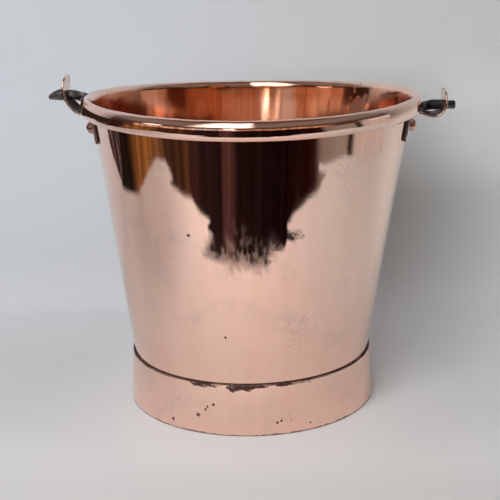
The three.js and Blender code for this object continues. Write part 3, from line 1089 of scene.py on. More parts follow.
@dataclass
class Ear:
    """One riveted ear: a plate bent to the wall, and a strap that hooks out under the rim and up."""

    vessel: Vessel
    side: Side
    arm_gap: float
    pin_rise: float
    bends: tuple[Pair, ...]
    overhang: float
    tip_radius: float
    tip_taper: float
    tip_droop: float
    collar: float
    sheet: float = 2.0
    plate_length: float = 93.0
    plate_height: float = 20.5
    plate_drop: float = 1.5
    plate_corner: float = 6.0
    strap_width: float = 32.0
    strap_corner: float = 12.0
    strap_root: float = 8.0
    edge_radius: float = 0.75
    rivet_spacing: float = 43.0
    rivet_drop: float = 10.3
    rivet_shank: float = 2.6
    rivet_head: float = 5.2
    rivet_dome: float = 4.3
    rivet_brim: float = 0.35
    rivet_tail: float = 4.4
    rivet_tail_flat: float = 3.5
    rivet_tail_height: float = 1.3
    pin_hole: float = 4.8
    rod_radius: float = 4.25
    drill: float = 8.0
    sharp_edge: float = 50.0
    drilled_edge: float = 38.0

    @property
    def name(self) -> str:
        """The ear's name, left or right."""
        return self.side.name.lower()

    @property
    def roll_bottom(self) -> float:
        """Height of the roll's lowest line."""
        return self.vessel.roll_height - self.vessel.roll_b

    @property
    def strap_level(self) -> float:
        """Height of the strap's middle where it passes under the roll."""
        return self.roll_bottom - self.vessel.clearance - self.sheet / 2.0

    def plate_radius(self, z: Array | float) -> Array | float:
        """Returns the radius of the plate sheet's middle at a height."""
        return self.vessel.wall_outer(z) + self.vessel.clearance + self.sheet / 2.0

    def strap_line(self) -> Array:
        """The strap's middle line seen from the front, as a Catmull-Rom curve through its bends.

        Between p1 and p2 it is (2 p1 - 2 p2 + v1 + v2) t^3 + (-3 p1 + 3 p2 - 2 v1 - v2) t^2 + v1 t + p1, with
        v1 = (p2 - p0) / 2 and v2 = (p3 - p1) / 2.

        Returns:
            Distance outwards and height of each point, evenly spaced along the line.
        """
        roll_outer = self.vessel.roll_radius + self.vessel.roll_a
        clear = roll_outer + self.arm_gap + 2.0 * self.rod_radius + self.sheet / 2.0
        start = self.strap_level - self.strap_root
        leaving = self.strap_level - self.strap_root / 2.0
        points = np.array(
            [
                (self.plate_radius(start), start),
                (self.plate_radius(leaving), leaving),
                (self.vessel.roll_radius, self.strap_level),
                *((clear + out, self.strap_level + rise) for out, rise in self.bends),
            ]
        )
        count = len(points)
        i = np.arange(count - 1)
        p0, p1 = points[np.maximum(i - 1, 0)], points[i]
        p2, p3 = points[i + 1], points[np.minimum(i + 2, count - 1)]
        v1, v2 = (p2 - p0) / 2.0, (p3 - p1) / 2.0
        t = np.linspace(0.0, 1.0, 80, endpoint=False)[None, :, None]
        p1, p2, v1, v2 = (p[:, None, :] for p in (p1, p2, v1, v2))
        line = (2 * p1 - 2 * p2 + v1 + v2) * t**3 + (-3 * p1 + 3 * p2 - 2 * v1 - v2) * t**2 + v1 * t + p1
        line = np.concatenate([line.reshape(-1, 2), points[-1:]])
        way = way_along(line)
        even = np.linspace(0.0, way[-1], 1200)
        return np.stack([np.interp(even, way, line[:, k]) for k in range(2)], -1)

    def pin(self) -> Array:
        """Returns where the hinge line crosses the strap, about the bucket's axis."""
        height = self.strap_level + self.pin_rise
        line = self.strap_line()[::-1]
        out = line[np.argmax(line[:, 1] <= height), 0]
        return self.vessel.hand.bend(np.array([self.side.value * out, 0.0, height]))

    def bent_strip(self, kind: str, x: Array, y: Array, z: Array) -> Object:
        """Makes a closed strip of the ear, on its own side and bent like the rim.

        Args:
            kind: plate or strap.
            x: how far out from the bucket's axis each point is.
            y: how far round.
            z: its height.

        Returns:
            The mesh object.
        """
        grid = np.stack([self.side.value * x, self.side.value * y, z], -1)
        points = to_frame(self.vessel.hand.bend(grid)).reshape(grid.shape)
        return closed_strip(f"{self.name}_{kind}", points, self.sharp_edge)

    def plate(self) -> Object:
        """Makes the plate, a strip with rounded lower corners bent round the wall by a turn of y / r."""
        along, drawn = sheet_rows(self.plate_height, 26, self.edge_radius)
        corner = self.plate_corner
        fall = np.minimum(np.maximum(0.0, corner - along), corner)
        half = self.plate_length / 2.0 - corner + np.sqrt(corner**2 - fall**2)
        section = SheetSection(across=96)
        y, n = section.offsets(half - drawn, self.sheet / 2.0 - drawn, self.edge_radius)
        bottom = self.roll_bottom - self.plate_drop - self.plate_height
        z = (bottom + along)[:, None] + 0.0 * y
        turn = y / self.plate_radius(z)
        radius = self.plate_radius(z) + n
        return self.bent_strip("plate", radius * np.cos(turn), radius * np.sin(turn), z)

    def strap(self) -> Object:
        """Makes the strap along its line, bowed like the wall at its root and rounded at its free end."""
        line = self.strap_line()
        way = way_along(line)
        length = float(way[-1])
        along, drawn = sheet_rows(length, 110, self.edge_radius)
        near_end = length - self.strap_corner * (1.0 - np.cos(np.linspace(0.0, math.pi / 2.0, 16)))
        extra = near_end[(near_end > length - self.strap_corner) & (near_end < length - self.edge_radius)]
        order = np.argsort(np.concatenate([along, extra]))
        along = np.concatenate([along, extra])[order]
        drawn = np.concatenate([drawn, np.zeros(len(extra))])[order]
        tangent = np.gradient(line, way, axis=0)
        tangent /= np.linalg.norm(tangent, axis=1)[:, None]
        at, heading = (
            table(*(np.interp(along, way, course[:, k]) for k in range(2))) for course in (line, tangent)
        )
        from_end = np.maximum(0.0, self.strap_corner - (length - along))
        half = self.strap_width / 2.0 - self.strap_corner + np.sqrt(self.strap_corner**2 - from_end**2)
        section = SheetSection(across=30)
        y, n = section.offsets(half - drawn, self.sheet / 2.0 - drawn, self.edge_radius)
        straight = np.maximum(0.0, 1.0 - 2.0 * along / length)[:, None]
        bow = straight * y**2 / (2.0 * self.plate_radius(self.strap_level))
        out = at[:, :1] - bow + n * heading[:, 1:]
        return self.bent_strip("strap", out, y, at[:, 1:] - n * heading[:, :1])

    def rivet_place(self, way: int) -> Matrix:
        """Where a rivet crosses the wall, with Z pointing straight out of it.

        Args:
            way: +1 or -1, the sense round the wall from the ear's middle.

        Returns:
            The place in metres in the model's frame.
        """
        height = self.roll_bottom - self.rivet_drop
        radius = self.plate_radius(height)
        turn = (0.0 if self.side is Side.RIGHT else math.pi) + way * self.rivet_spacing / 2.0 / radius
        at = self.vessel.hand.bend(np.array([radius * math.cos(turn), radius * math.sin(turn), height]))
        outward = Vector((math.cos(turn), math.sin(turn), -self.vessel.slope)).normalized()
        return standing(at, outward)

    def piece(self, hinge: Vector) -> Object:
        """Joins the strap to the plate and drills the holes.

        Args:
            hinge: the direction of the hinge line.

        Returns:
            The finished ear.
        """
        ear = self.plate()
        ear.name = self.name + "_ear_piece"
        cut_or_join(ear, [self.strap()], "UNION")
        shank = self.rivet_shank + self.vessel.clearance
        holes = [(shank, 32, self.rivet_place(way)) for way in (-1, 1)]
        holes.append((self.pin_hole, 64, standing(self.pin(), hinge)))
        end = self.drill
        drills = []
        for radius, steps, place in holes:
            bore = np.array([(0.0, -end), (radius, -end), (radius, end), (0.0, end)])
            drills.append(turned_solid("drill", bore, steps, place))
        cut_or_join(ear, drills, "DIFFERENCE")
        ear.data.shade_smooth()
        ear.data.set_sharp_from_angle(angle=math.radians(self.drilled_edge))
        return ear

    def rivet(self, way: int) -> Object:
        """Makes a rivet about its own axis and puts it in its place: hammered tail, shank and domed head.

        Args:
            way: +1 or -1, the sense round the wall from the ear's middle.

        Returns:
            The rivet.
        """
        front = way * self.side.value < 0
        seat = self.sheet / 2.0 + self.vessel.clearance
        inside = -(self.sheet / 2.0 + 2.0 * self.vessel.clearance + self.vessel.sheet)
        arc = np.linspace(0.0, math.pi / 2.0, 18)
        brim = self.rivet_brim
        rise = seat + brim + (self.rivet_dome - brim) * np.sin(arc)
        dome = np.stack([self.rivet_head * np.cos(arc) ** 0.9, rise], -1)
        dome[-1, 0] = 0.0
        profile = np.array(
            [
                (0.0, inside - self.rivet_tail_height),
                (self.rivet_tail_flat * 0.5, inside - self.rivet_tail_height),
                (self.rivet_tail_flat, inside - self.rivet_tail_height * 0.96),
                (self.rivet_tail - 0.3, inside - self.rivet_tail_height * 0.7),
                (self.rivet_tail, inside - self.rivet_tail_height * 0.4),
                (self.rivet_tail, inside),
                (self.rivet_shank, inside),
                (self.rivet_shank, seat),
                (self.rivet_head - 0.2, seat),
                *dome.tolist(),
            ]
        )
        name = f"{self.name}_rivet_{'front' if front else 'back'}_piece"
        return turned_solid(name, profile, 48, self.rivet_place(way))


@dataclass
class Bail:
    """The forged bail: one rod whose ends turn out through the ears, lying folded back below level."""

    vessel: Vessel
    left: Ear
    right: Ear
    hinge_at: Vector
    hinge_along: Vector
    rod: float = 4.25
    grip: float = 5.1
    grip_share: float = 0.3
    bend_radius: float = 4.6
    pin_radius: float = 4.2
    collar_gap: float = 1.6
    tip_hollow: float = 1.5
    drop: float = 11.0
    sides: int = 36
    forged: Waves = Waves(0.16, 0.05, 41, (0, 5), 0.5)
    forged_rise: Pair = (2.2, 4.2)

    def half(self, ear: Ear, middle: float, bend_start: float, bend_turn: float) -> Array:
        """One end of the bail from its tip inwards: tapered tip, collar, pin and the quarter bend to the arm.

        Args:
            ear: the ear that it passes through.
            middle: how far the bail's middle stands from the hinge's.
            bend_start: where the bend starts, out from the middle.
            bend_turn: the bend's turn in radians.

        Returns:
            Stations as x, y, sink, heading x, heading y and radius, one in each row.
        """
        side = ear.side.value
        face = abs(float(ear.pin()[0]) - self.vessel.hand.shift) + ear.sheet / 2.0

        def from_middle(out: float) -> float:
            """Returns the distance along the hinge line."""
            return (out - side * middle) / self.hinge_along.x

        tip = from_middle(face + ear.overhang)
        collar = from_middle(face + self.collar_gap)
        share = np.linspace(1.0, 0.0, 18)
        radius = lerp(ear.collar, ear.tip_radius, share**self.tip_hollow)
        droop = ear.tip_droop * (ear.collar - radius)
        taper = table(tip - ear.tip_taper * (1.0 - share), 0.0, droop, 0.0, 0.0, radius)
        nose = np.linspace(0.0, math.pi / 2.0, 7)[:-1]
        cap = table(tip, 0.0, droop[0], 0.0, 0.0, ear.tip_radius * (0.25 + 0.75 * np.sin(nose)))
        bulge = 0.55 * ear.tip_radius
        cap[:, 0] += bulge * np.cos(nose) ** 1.2 - bulge
        taper[0, 0] -= bulge
        pin = np.linspace(collar + self.collar_gap, collar, 10)
        shoulder = lerp(ear.collar, self.pin_radius, smoothstep(-pin, -pin[0], -pin[-1]))
        ends = np.concatenate([cap, taper, table(pin, 0.0, 0.0, 0.0, 0.0, shoulder)])
        ends[:, 0] *= side
        ends[:, 3] = 1.0
        s = np.linspace(0.0, 1.0, 20, endpoint=False)
        turn = s * bend_turn
        x = side * (bend_start - self.bend_radius * np.sin(turn))
        y = self.bend_radius * (1 - np.cos(turn))
        bend = table(x, y, 0.0, np.cos(turn), -side * np.sin(turn), lerp(self.pin_radius, self.rod, s))
        return np.concatenate([ends, bend])

    def stations(self) -> Array:
        """The rod's stations from the left tip to the right tip, in the bail's own plane."""
        roll_outer = self.vessel.roll_radius + self.vessel.roll_a
        left_arm = roll_outer + self.left.arm_gap + self.rod
        right_arm = roll_outer + self.right.arm_gap + self.rod
        reach = (left_arm + right_arm) / 2.0
        middle = (right_arm - left_arm) / 2.0
        start = math.asin(self.bend_radius / (reach + self.bend_radius))
        bend_start = (reach + self.bend_radius) * math.cos(start)
        bend_turn = math.pi / 2.0 - start
        turn = np.linspace(start, math.pi - start, 260)
        cos, sin = np.cos(turn), np.sin(turn)
        swell = smoothstep(1.0 - np.abs(turn / math.pi - 0.5) / self.grip_share, 0.0, 1.0)
        arc = table(-reach * cos, reach * sin, 0.0, sin, cos, lerp(self.rod, self.grip, swell))
        first = self.half(self.left, middle, bend_start, bend_turn)
        last = self.half(self.right, middle, bend_start, bend_turn)[::-1]
        return np.concatenate([first, arc, last])

    def piece(self) -> Object:
        """Sweeps a round section along the stations, with hammered flats and lumps, and closes its tips."""
        rows = self.stations()
        turn = np.linspace(0.0, 2.0 * math.pi, self.sides, endpoint=False)
        way = way_along(rows[:, :2])
        forged = self.forged.at(turn[None, :], way[:, None])
        radius = rows[:, 5:6] + forged * smoothstep(rows[:, 5:6], *self.forged_rise)
        across = table(-rows[:, 4], rows[:, 3], 0.0)[:, None, :]
        centre = table(rows[:, 0], rows[:, 1], -rows[:, 2])[:, None, :]
        up = np.array([0.0, 0.0, 1.0])
        grid = centre + across * (radius * np.cos(turn))[..., None] + up * (radius * np.sin(turn))[..., None]
        piece = capped_rings("bail_rod", grid, np.concatenate([centre[0], centre[-1]]))
        x, y = self.hinge_along, Vector((0.0, 1.0, 0.0))
        basis = Matrix((x, y, x.cross(y))).transposed().to_4x4()
        fold = Matrix.Rotation(math.radians(-self.drop), 4, "X")
        piece.data.transform(Matrix.Translation(self.hinge_at) @ basis @ fold)
        return piece


# The studio

# What the dim room glows with, low down, by direction in degrees round from the front
LOW_TONES = (
    (-150, (0.30, 0.28, 0.26)), (-139, (0.22, 0.18, 0.17)), (-135, (0.045, 0.03, 0.03)),
    (-129, (0.13, 0.10, 0.095)), (-124, (0.03, 0.02, 0.02)), (-119, (0.07, 0.05, 0.048)),
    (-116, (0.03, 0.02, 0.018)), (-112, (0.10, 0.07, 0.06)), (-107, (0.014, 0.009, 0.008)),
    (-92, (0.012, 0.007, 0.006)), (-88, (0.13, 0.058, 0.02)), (-72, (0.25, 0.115, 0.032)),
    (-60, (0.09, 0.045, 0.024)), (-52, (0.03, 0.014, 0.010)), (-44, (0.075, 0.034, 0.018)),
    (-37, (0.035, 0.014, 0.012)), (-30, (0.016, 0.009, 0.010)), (-19, (0.020, 0.009, 0.010)),
    (-16, (0.080, 0.038, 0.035)), (-11.5, (0.064, 0.030, 0.028)), (-9, (0.013, 0.006, 0.006)),
    (20, (0.006, 0.003, 0.003)), (36, (0.012, 0.003, 0.002)), (44, (0.022, 0.005, 0.003)),
    (48, (0.20, 0.17, 0.15)), (62, (0.27, 0.25, 0.23)), (68, (0.25, 0.23, 0.21)),
    (69.5, (0.035, 0.024, 0.018)), (72.5, (0.035, 0.024, 0.018)), (75, (0.48, 0.46, 0.44)),
    (150, (0.50, 0.50, 0.49)),
)

# What the metal mirrors of the sky, by degrees above level
SKY_TONES = (
    (0, (0.30, 0.20, 0.16)), (14, (0.26, 0.16, 0.12)), (22, (0.55, 0.42, 0.36)),
    (30, (1.0, 0.86, 0.80)), (52, (1.0, 0.84, 0.76)), (64, (0.78, 0.46, 0.34)),
    (90, (0.68, 0.36, 0.25)),
)

# What the dim room glows with, high up, by direction in degrees round from the front
HIGH_TONES = (
    (-178, (0.45, 0.42, 0.40)), (-131, (0.42, 0.36, 0.34)), (-124, (0.13, 0.06, 0.045)),
    (-105, (0.12, 0.05, 0.04)), (-99, (0.36, 0.22, 0.16)), (-95, (0.07, 0.03, 0.02)),
    (-82, (0.08, 0.035, 0.025)), (-76, (0.60, 0.37, 0.25)), (-40, (0.58, 0.37, 0.25)),
    (-31, (0.55, 0.50, 0.48)), (-9, (0.60, 0.52, 0.50)), (-4, (0.40, 0.20, 0.12)),
    (34, (0.48, 0.25, 0.15)), (47, (0.44, 0.22, 0.13)), (55, (0.10, 0.038, 0.024)),
    (70, (0.11, 0.042, 0.026)), (80, (0.62, 0.56, 0.54)), (104, (0.60, 0.55, 0.54)),
    (112, (0.12, 0.06, 0.04)), (134, (0.12, 0.05, 0.03)), (142, (0.42, 0.30, 0.24)),
    (178, (0.45, 0.42, 0.40)),
)

# The near edge of the dim room's floor, in degrees round from the front and millimetres from the axis
ROOM_EDGE = (
    (-138, 1250), (-134, 1010), (-129, 880), (-122, 800), (-114, 735), (-106, 690), (-99.4, 658),
    (-87, 622), (-80, 640), (-74, 667), (-66, 690), (-58.6, 674), (-52.7, 615), (-57, 606), (-50, 570),
    (-47, 553), (-39.4, 539), (-36, 512), (-33.7, 500), (-30, 485), (-26.6, 471), (-29.2, 456),
    (-24.6, 430), (-33.4, 397), (-27, 380), (-21.4, 372), (-15, 369), (-9.5, 363), (-4, 366),
    (2.1, 362), (7, 363), (12.5, 356), (17.1, 366), (11.2, 377), (18, 384), (25.2, 392), (26.3, 410),
    (31, 407), (37, 428), (27.3, 428), (26.1, 443), (30, 462), (34, 479), (39, 500), (43.4, 514),
    (48.2, 534), (51.5, 568), (54.7, 585), (47.3, 589), (47, 612), (67.9, 649), (91.8, 716),
    (118.5, 844), (147.3, 1103),
)

# The outline of the dark card at the left, as x and height in millimetres
CARD_EDGE = (
    (-481, 262), (-481, 142), (-483, 135), (-491, 120), (-511, 105), (-539, 81), (-582, 53), (-638, 22),
    (-700, 1), (-1100, 1), (-1100, 262),
)


@dataclass(frozen=True)
class PaleFinish:
    """The floor and the backdrop: pale, with tones that ease into one another by place, in metres.

    Most tones by place are painted light and shade: front is a painted pool of light; side, high_right and
    its lift, the bend's lift and the glow round the bucket are painted light that lifts the shade; the drop
    near the front is painted shade that only the camera sees; back_right is a painted warm tint of the shade
    to the right;
    left is a darker place at the left. A pair ending in x, y or z is where a tone starts and ends that way, a
    reach is the distances between which it fades round its middle, and each painted light and painted shade
    is how much lighter or darker its place is. The bend's own rise and fall go by y, and high_right_top by z.
    """

    floor: Triple = (0.72, 0.715, 0.72)
    front: Triple = (0.97, 0.912, 0.89)
    front_middle: Triple = (0.05, -0.48, 0.0)
    front_reach: Pair = (0.08, 0.56)
    left: Triple = (0.555, 0.54, 0.535)
    left_middle: Triple = (-0.52, -0.15, 0.0)
    left_reach: Pair = (0.12, 0.31)
    back: Triple = (0.605, 0.622, 0.655)
    back_y: Pair = (0.02, 0.44)
    back_right: Triple = (0.625, 0.605, 0.585)
    back_right_x: Pair = (-0.25, 0.34)
    high_right: Triple = (0.61, 0.61, 0.622)
    high_right_x: Pair = (0.18, 0.27)
    high_right_z: Pair = (0.09, 0.165)
    high_right_top: Pair = (0.205, 0.285)
    high_right_painted_light: float = 0.24
    side: Triple = (0.93, 0.99, 1.0)
    side_x: Pair = (0.10, 0.46)
    side_z: Pair = (0.04, 0.20)
    painted_light_round_bucket: float = 0.10
    painted_light_round_bucket_reach: Pair = (0.10, 0.21)
    bend_rise: Pair = (0.04, 0.23)
    bend_fall: Pair = (0.22, 0.36)
    bend_painted_light: Pair = (0.205, 0.14)
    bend_x: Pair = (-0.10, 0.20)
    bend_mirrored_x: Pair = (0.0, 0.1)
    near_y: Pair = (-0.24, -0.15)
    near_painted_shade: float = -0.15

    def material(self, name: str, one_sided: bool) -> Material:
        """Puts the finish together.

        Args:
            name: of the material.
            one_sided: whether its back is clear, so that it never hides the bucket from behind.

        Returns:
            The material.
        """
        g = Graph(name)
        x, y, z = g.split()
        # Painted light: a warm pool on the floor in front; at the left a darker place
        painted_light_in_front = g.fall(g.away(self.front_middle), *self.front_reach)
        at_left = g.fall(g.away(self.left_middle), *self.left_reach)
        colour = g.blend(painted_light_in_front, rgba(self.floor), rgba(self.front))
        colour = g.blend(at_left, colour, rgba(self.left))
        # The backdrop, with a painted warm tint of the shade to the right and painted light high at the right
        back = g.blend(g.rise(x, *self.back_right_x), rgba(self.back), rgba(self.back_right))
        high = g.times(g.rise(x, *self.high_right_x), g.rise(z, *self.high_right_z))
        back = g.blend(high, back, rgba(self.high_right))
        colour = g.blend(g.rise(y, *self.back_y), colour, back)
        # Painted light that lifts the shade low down to the right
        painted_light_aside = g.times(g.rise(x, *self.side_x), g.fall(z, *self.side_z))
        colour = g.blend(painted_light_aside, colour, rgba(self.side))
        seen = g.add("ShaderNodeLightPath").outputs["Is Camera Ray"]
        # Painted light in the backdrop's bend, lifting the shade there
        bend = g.maths("MINIMUM", g.rise(y, *self.bend_rise), g.fall(y, *self.bend_fall))
        bend = g.times(bend, g.maths("MAXIMUM", seen, g.rise(x, *self.bend_mirrored_x)))
        # Tone: a random unevenness, painted light round the bucket, in the bend and high at the right, and
        # painted shade near the front for the camera only
        tone = g.plus(
            g.spread(g.noise(g.place, 2.2, 2.0, 0.5), 0.3, 0.7, 0.985, 1.015),
            g.spread(g.away((AXIS_X * MM, AXIS_Y * MM, 0.0)), *self.painted_light_round_bucket_reach, self.painted_light_round_bucket, 0.0),
            g.times(bend, g.spread(x, *self.bend_x, *self.bend_painted_light)),
            g.times(high, g.spread(z, *self.high_right_top, self.high_right_painted_light, 0.0)),
            g.times(seen, g.spread(y, *self.near_y, self.near_painted_shade, 0.0)),
        )
        grey = g.add("ShaderNodeCombineColor", {0: tone, 1: tone, 2: tone}).outputs[0]
        surface = g.add("ShaderNodeBsdfDiffuse", {"Color": g.blend(1.0, colour, grey, "MULTIPLY")}).outputs[0]
        if one_sided:
            behind = g.add("ShaderNodeNewGeometry").outputs["Backfacing"]
            clear = g.add("ShaderNodeBsdfTransparent").outputs[0]
            surface = g.add("ShaderNodeMixShader", {0: behind, 1: surface, 2: clear}).outputs[0]
        return g.end(surface)


@dataclass
class Studio:
    """The floor, the backdrop, the lights, what the polished copper mirrors, and the camera.

    Directions are in degrees round from the front to the right. The floor, the backdrop and the lamp are in
    metres, mirrored things and the camera's place in millimetres about the bucket's axis, the camera's pitch
    and roll in radians, and its focal length and the picture's width in pixels.
    """

    pale: PaleFinish = field(default_factory=PaleFinish)
    floor_half: float = 14.0
    backdrop_start: float = 0.21
    backdrop_bend: float = 0.22
    backdrop_top: float = 1.9
    backdrop_half: float = 2.6
    far: float = 2700.0
    far_base: float = 345.0
    far_top: float = 830.0
    room_level: float = 0.6
    room_ends: Pair = (147.3, -138.0)
    room_left: Triple = (0.05, 0.034, 0.032)
    shade: Triple = (0.03, 0.016, 0.013)
    card_y: float = 195.0
    card_dark: Triple = (0.028, 0.018, 0.019)
    card_streak: Triple = (0.17, 0.13, 0.125)
    pane_radius: float = 1400.0
    pane_level: float = 270.0
    pane_tone: Triple = (1.0, 0.97, 0.93)
    sky: Triple = (1.0, 0.94, 0.89)
    sky_strength: float = 0.20
    key_watts: float = 23.4
    key_tone: Triple = (0.95, 0.98, 1.0)
    key_size: Pair = (1.15, 0.78)
    key_at: Triple = (-0.50, -1.26, 0.68)
    key_aim: Triple = (0.0, 0.0, 0.16)
    eye: Triple = (0.458, -953.244, 387.475)
    eye_turn: float = 1.8
    eye_pitch: float = 0.26
    eye_roll: float = 0.0199
    focal: float = 1073.27
    width: float = 500.0

    def show(self, name: str, points: Array, faces: list, material: Material, mirrored: bool = True) -> None:
        """Stages a surface of the studio.

        Args:
            name: of the surface.
            points: its points, one in each row, in metres.
            faces: the corners of each face.
            material: its finish.
            mirrored: whether only the metal's reflections show it.
        """
        mesh = bpy.data.meshes.new(name)
        mesh.from_pydata(points.tolist(), [], faces)
        if not mirrored:
            mesh.shade_smooth()
        surface = bpy.data.objects.new(name, mesh)
        bpy.context.scene.collection.objects.link(surface)
        mesh.materials.append(material)
        if mirrored:
            surface.visible_camera = False
            surface.visible_diffuse = False
            surface.visible_shadow = False
            surface.visible_transmission = False
            surface.visible_volume_scatter = False

    def drum(
        self, name: str, ends: Pair, steps: int, radius: float, heights: Array | Pair, material: Material
    ) -> None:
        """Stages a mirrored card bent round the bucket's axis.

        Args:
            name: of the card.
            ends: directions of its two ends.
            steps: number of points along it.
            radius: its distance from the axis.
            heights: its lower and upper edge.
            material: its finish.
        """
        turn = np.radians(np.linspace(*ends, steps))[None, :]
        points = table(radius * np.sin(turn), -radius * np.cos(turn), np.asarray(heights)[:, None])
        self.show(name, to_frame(points), quads(2, steps, False, False).tolist(), material)

    def floor(self) -> None:
        """Lays the floor, one wide square."""
        half = self.floor_half
        points = np.array([(-half, -half, 0.0), (half, -half, 0.0), (half, half, 0.0), (-half, half, 0.0)])
        self.show("floor", points, [(0, 1, 2, 3)], self.pale.material("pale_floor", False), mirrored=False)

    def backdrop(self) -> None:
        """Hangs the backdrop: it leaves the floor in a quarter round and stands up behind the bucket."""
        start, radius = self.backdrop_start, self.backdrop_bend
        turn = np.linspace(-math.pi / 2.0, 0.0, 40)
        y = np.concatenate([start + radius * np.cos(turn), [start + radius]])[:, None]
        z = np.concatenate([0.001 + radius + radius * np.sin(turn), [self.backdrop_top]])[:, None]
        points = table(np.array([[-self.backdrop_half, self.backdrop_half]]), y, z).reshape(-1, 3)
        material = self.pale.material("pale_backdrop", True)
        self.show("backdrop", points, quads(len(y), 2, False, False).tolist(), material, mirrored=False)

    def room(self) -> None:
        """Lays out the dim room in front of the bucket: a floor with a ragged near edge, and a low wall."""
        steps = 60
        turn = np.radians([e[0] for e in ROOM_EDGE])
        radius = np.array([float(e[1]) for e in ROOM_EDGE])
        near = table(radius * np.sin(turn), -radius * np.cos(turn), self.room_level)
        turn = np.radians(np.linspace(*self.room_ends, steps))
        far = table(self.far * np.sin(turn), -self.far * np.cos(turn), self.room_level)
        ring = np.concatenate([near, far])
        points = np.concatenate([ring, far + np.array([0.0, 0.0, self.far_base])])
        faces = [tuple(f) for f in tessellate_polygon([[Vector(p) for p in ring.tolist()]])]
        faces += (quads(2, steps, False, False) + len(near)).tolist()
        self.show("dim_room", to_frame(points), faces, self.room_material("dim_room", LOW_TONES))

    def room_material(self, name: str, tones: tuple[tuple[float, Triple], ...]) -> Material:
        """Makes a glow whose tone changes with the direction from the bucket, with a few upright streaks.

        Args:
            name: of the material.
            tones: directions, each with its tone, from left to right.

        Returns:
            The material, which only gives off its tone.
        """
        g = Graph(name)
        turn = g.turn()
        share = g.plus(g.maths("DIVIDE", turn, 2.0 * math.pi), 0.5)
        ramp = g.ramp(share, [((angle + 180.0) / 360.0, tone) for angle, tone in tones])
        along = g.add("ShaderNodeCombineXYZ", {0: g.times(turn, 6.0)}).outputs[0]
        grain = g.spread(g.noise(along, 2.6, 3.0, 0.6), 0.3, 0.72, -0.55, 0.75)
        glow = g.plus(1.0, g.times(grain, g.spread(turn, 0.6, 0.9, 1.0, 0.12)))
        left = g.times(g.rise(turn, -1.9, -1.7), g.fall(turn, -1.42, -1.30))
        upright = g.times(g.rise(g.height(), 0.002, 0.01), left)
        return g.glow(g.blend(upright, ramp, rgba(self.room_left)), glow)

    def far_wall(self) -> None:
        """Stands up the upper part of the dim room, which the inside of the bucket mirrors."""
        material = self.room_material("far_wall", HIGH_TONES)
        self.drum("far_wall", (-178.0, 178.0), 120, self.far, (self.far_base, self.far_top), material)

    def left_shade(self) -> None:
        """Hangs a low dark strip to the left and behind, whose mirrored line runs along the rolled rim."""
        material = Graph("left_shade").glow(rgba(self.shade))
        self.drum("left_shade", (-163.0, -74.0), 30, 400.0, (192.0, 300.0), material)

    def left_card(self) -> None:
        """Stands a dark streaked card at the left and behind, which the wall's left side mirrors."""
        points = to_frame(np.array([(float(x), self.card_y, float(z)) for x, z in CARD_EDGE]))
        faces = [tuple(f) for f in tessellate_polygon([[Vector(p) for p in points.tolist()]])]
        g = Graph("left_card")
        streaks = g.rise(g.noise(g.stretched((1.0, 0.0, 0.35)), 26.0, 2.0, 0.5), 0.48, 0.60)
        tone = g.blend(streaks, rgba(self.card_dark), rgba(self.card_streak))
        self.show("left_card", points, faces, g.glow(tone))

    def pane(self, name: str, ends: Pair, rises: Pair, glow: float) -> None:
        """Hangs a bright pane that the polished metal mirrors, brighter in its middle and a little uneven.

        Args:
            name: of the pane.
            ends: directions of its two ends.
            rises: its lower and upper edge, in degrees above the rim.
            glow: how bright it is.
        """
        low, high = (float(end) for end in np.radians(ends))
        fade = (high - low) * 0.30
        g = Graph(name)
        turn = g.turn()
        rising = g.spread(turn, low, low + 1.5 * fade, 0.04, 1.0)
        falling = g.spread(turn, high - 0.5 * fade, high, 1.0, 0.10)
        flicker = g.times(g.spread(g.noise(g.place, 7.0, 3.0, 0.7), 0.35, 0.6, 0.55, 1.0), glow)
        material = g.glow(rgba(self.pane_tone), g.times(g.times(rising, falling), flicker))
        heights = self.pane_level + self.pane_radius * np.tan(np.radians(rises))
        self.drum(name, ends, 24, self.pane_radius, heights, material)

    def lights(self) -> None:
        """Hangs the broad soft light in front and to the left, the mirrored panes and the even light."""
        lamp = bpy.data.lights.new("window_light", "AREA")
        lamp.shape = "RECTANGLE"
        lamp.size, lamp.size_y = self.key_size
        lamp.energy = self.key_watts
        lamp.color = self.key_tone
        light = bpy.data.objects.new("window_light", lamp)
        light.location = self.key_at
        light.rotation_mode = "QUATERNION"
        light.rotation_quaternion = (Vector(self.key_aim) - Vector(self.key_at)).to_track_quat("-Z", "Y")
        light.visible_camera = False
        light.visible_glossy = False
        bpy.context.scene.collection.objects.link(light)
        self.pane("window", (-44.0, 4.0), (21.0, 72.0), 2.9)
        self.pane("glint", (-16.0, -8.5), (10.1, 12.0), 16.0)
        self.pane("side_window", (-72.0, -54.0), (14.0, 17.0), 4.0)
        g = Graph("even_light", world=True)
        stops = [(math.sin(math.radians(rise)), tone) for rise, tone in SKY_TONES]
        mirrored = g.add("ShaderNodeLightPath").outputs["Is Glossy Ray"]
        tint = g.blend(mirrored, rgba(self.sky), g.ramp(g.height(), stops))
        light = g.add("ShaderNodeBackground", {"Color": tint, "Strength": self.sky_strength})
        bpy.context.scene.world = g.end(light.outputs[0])

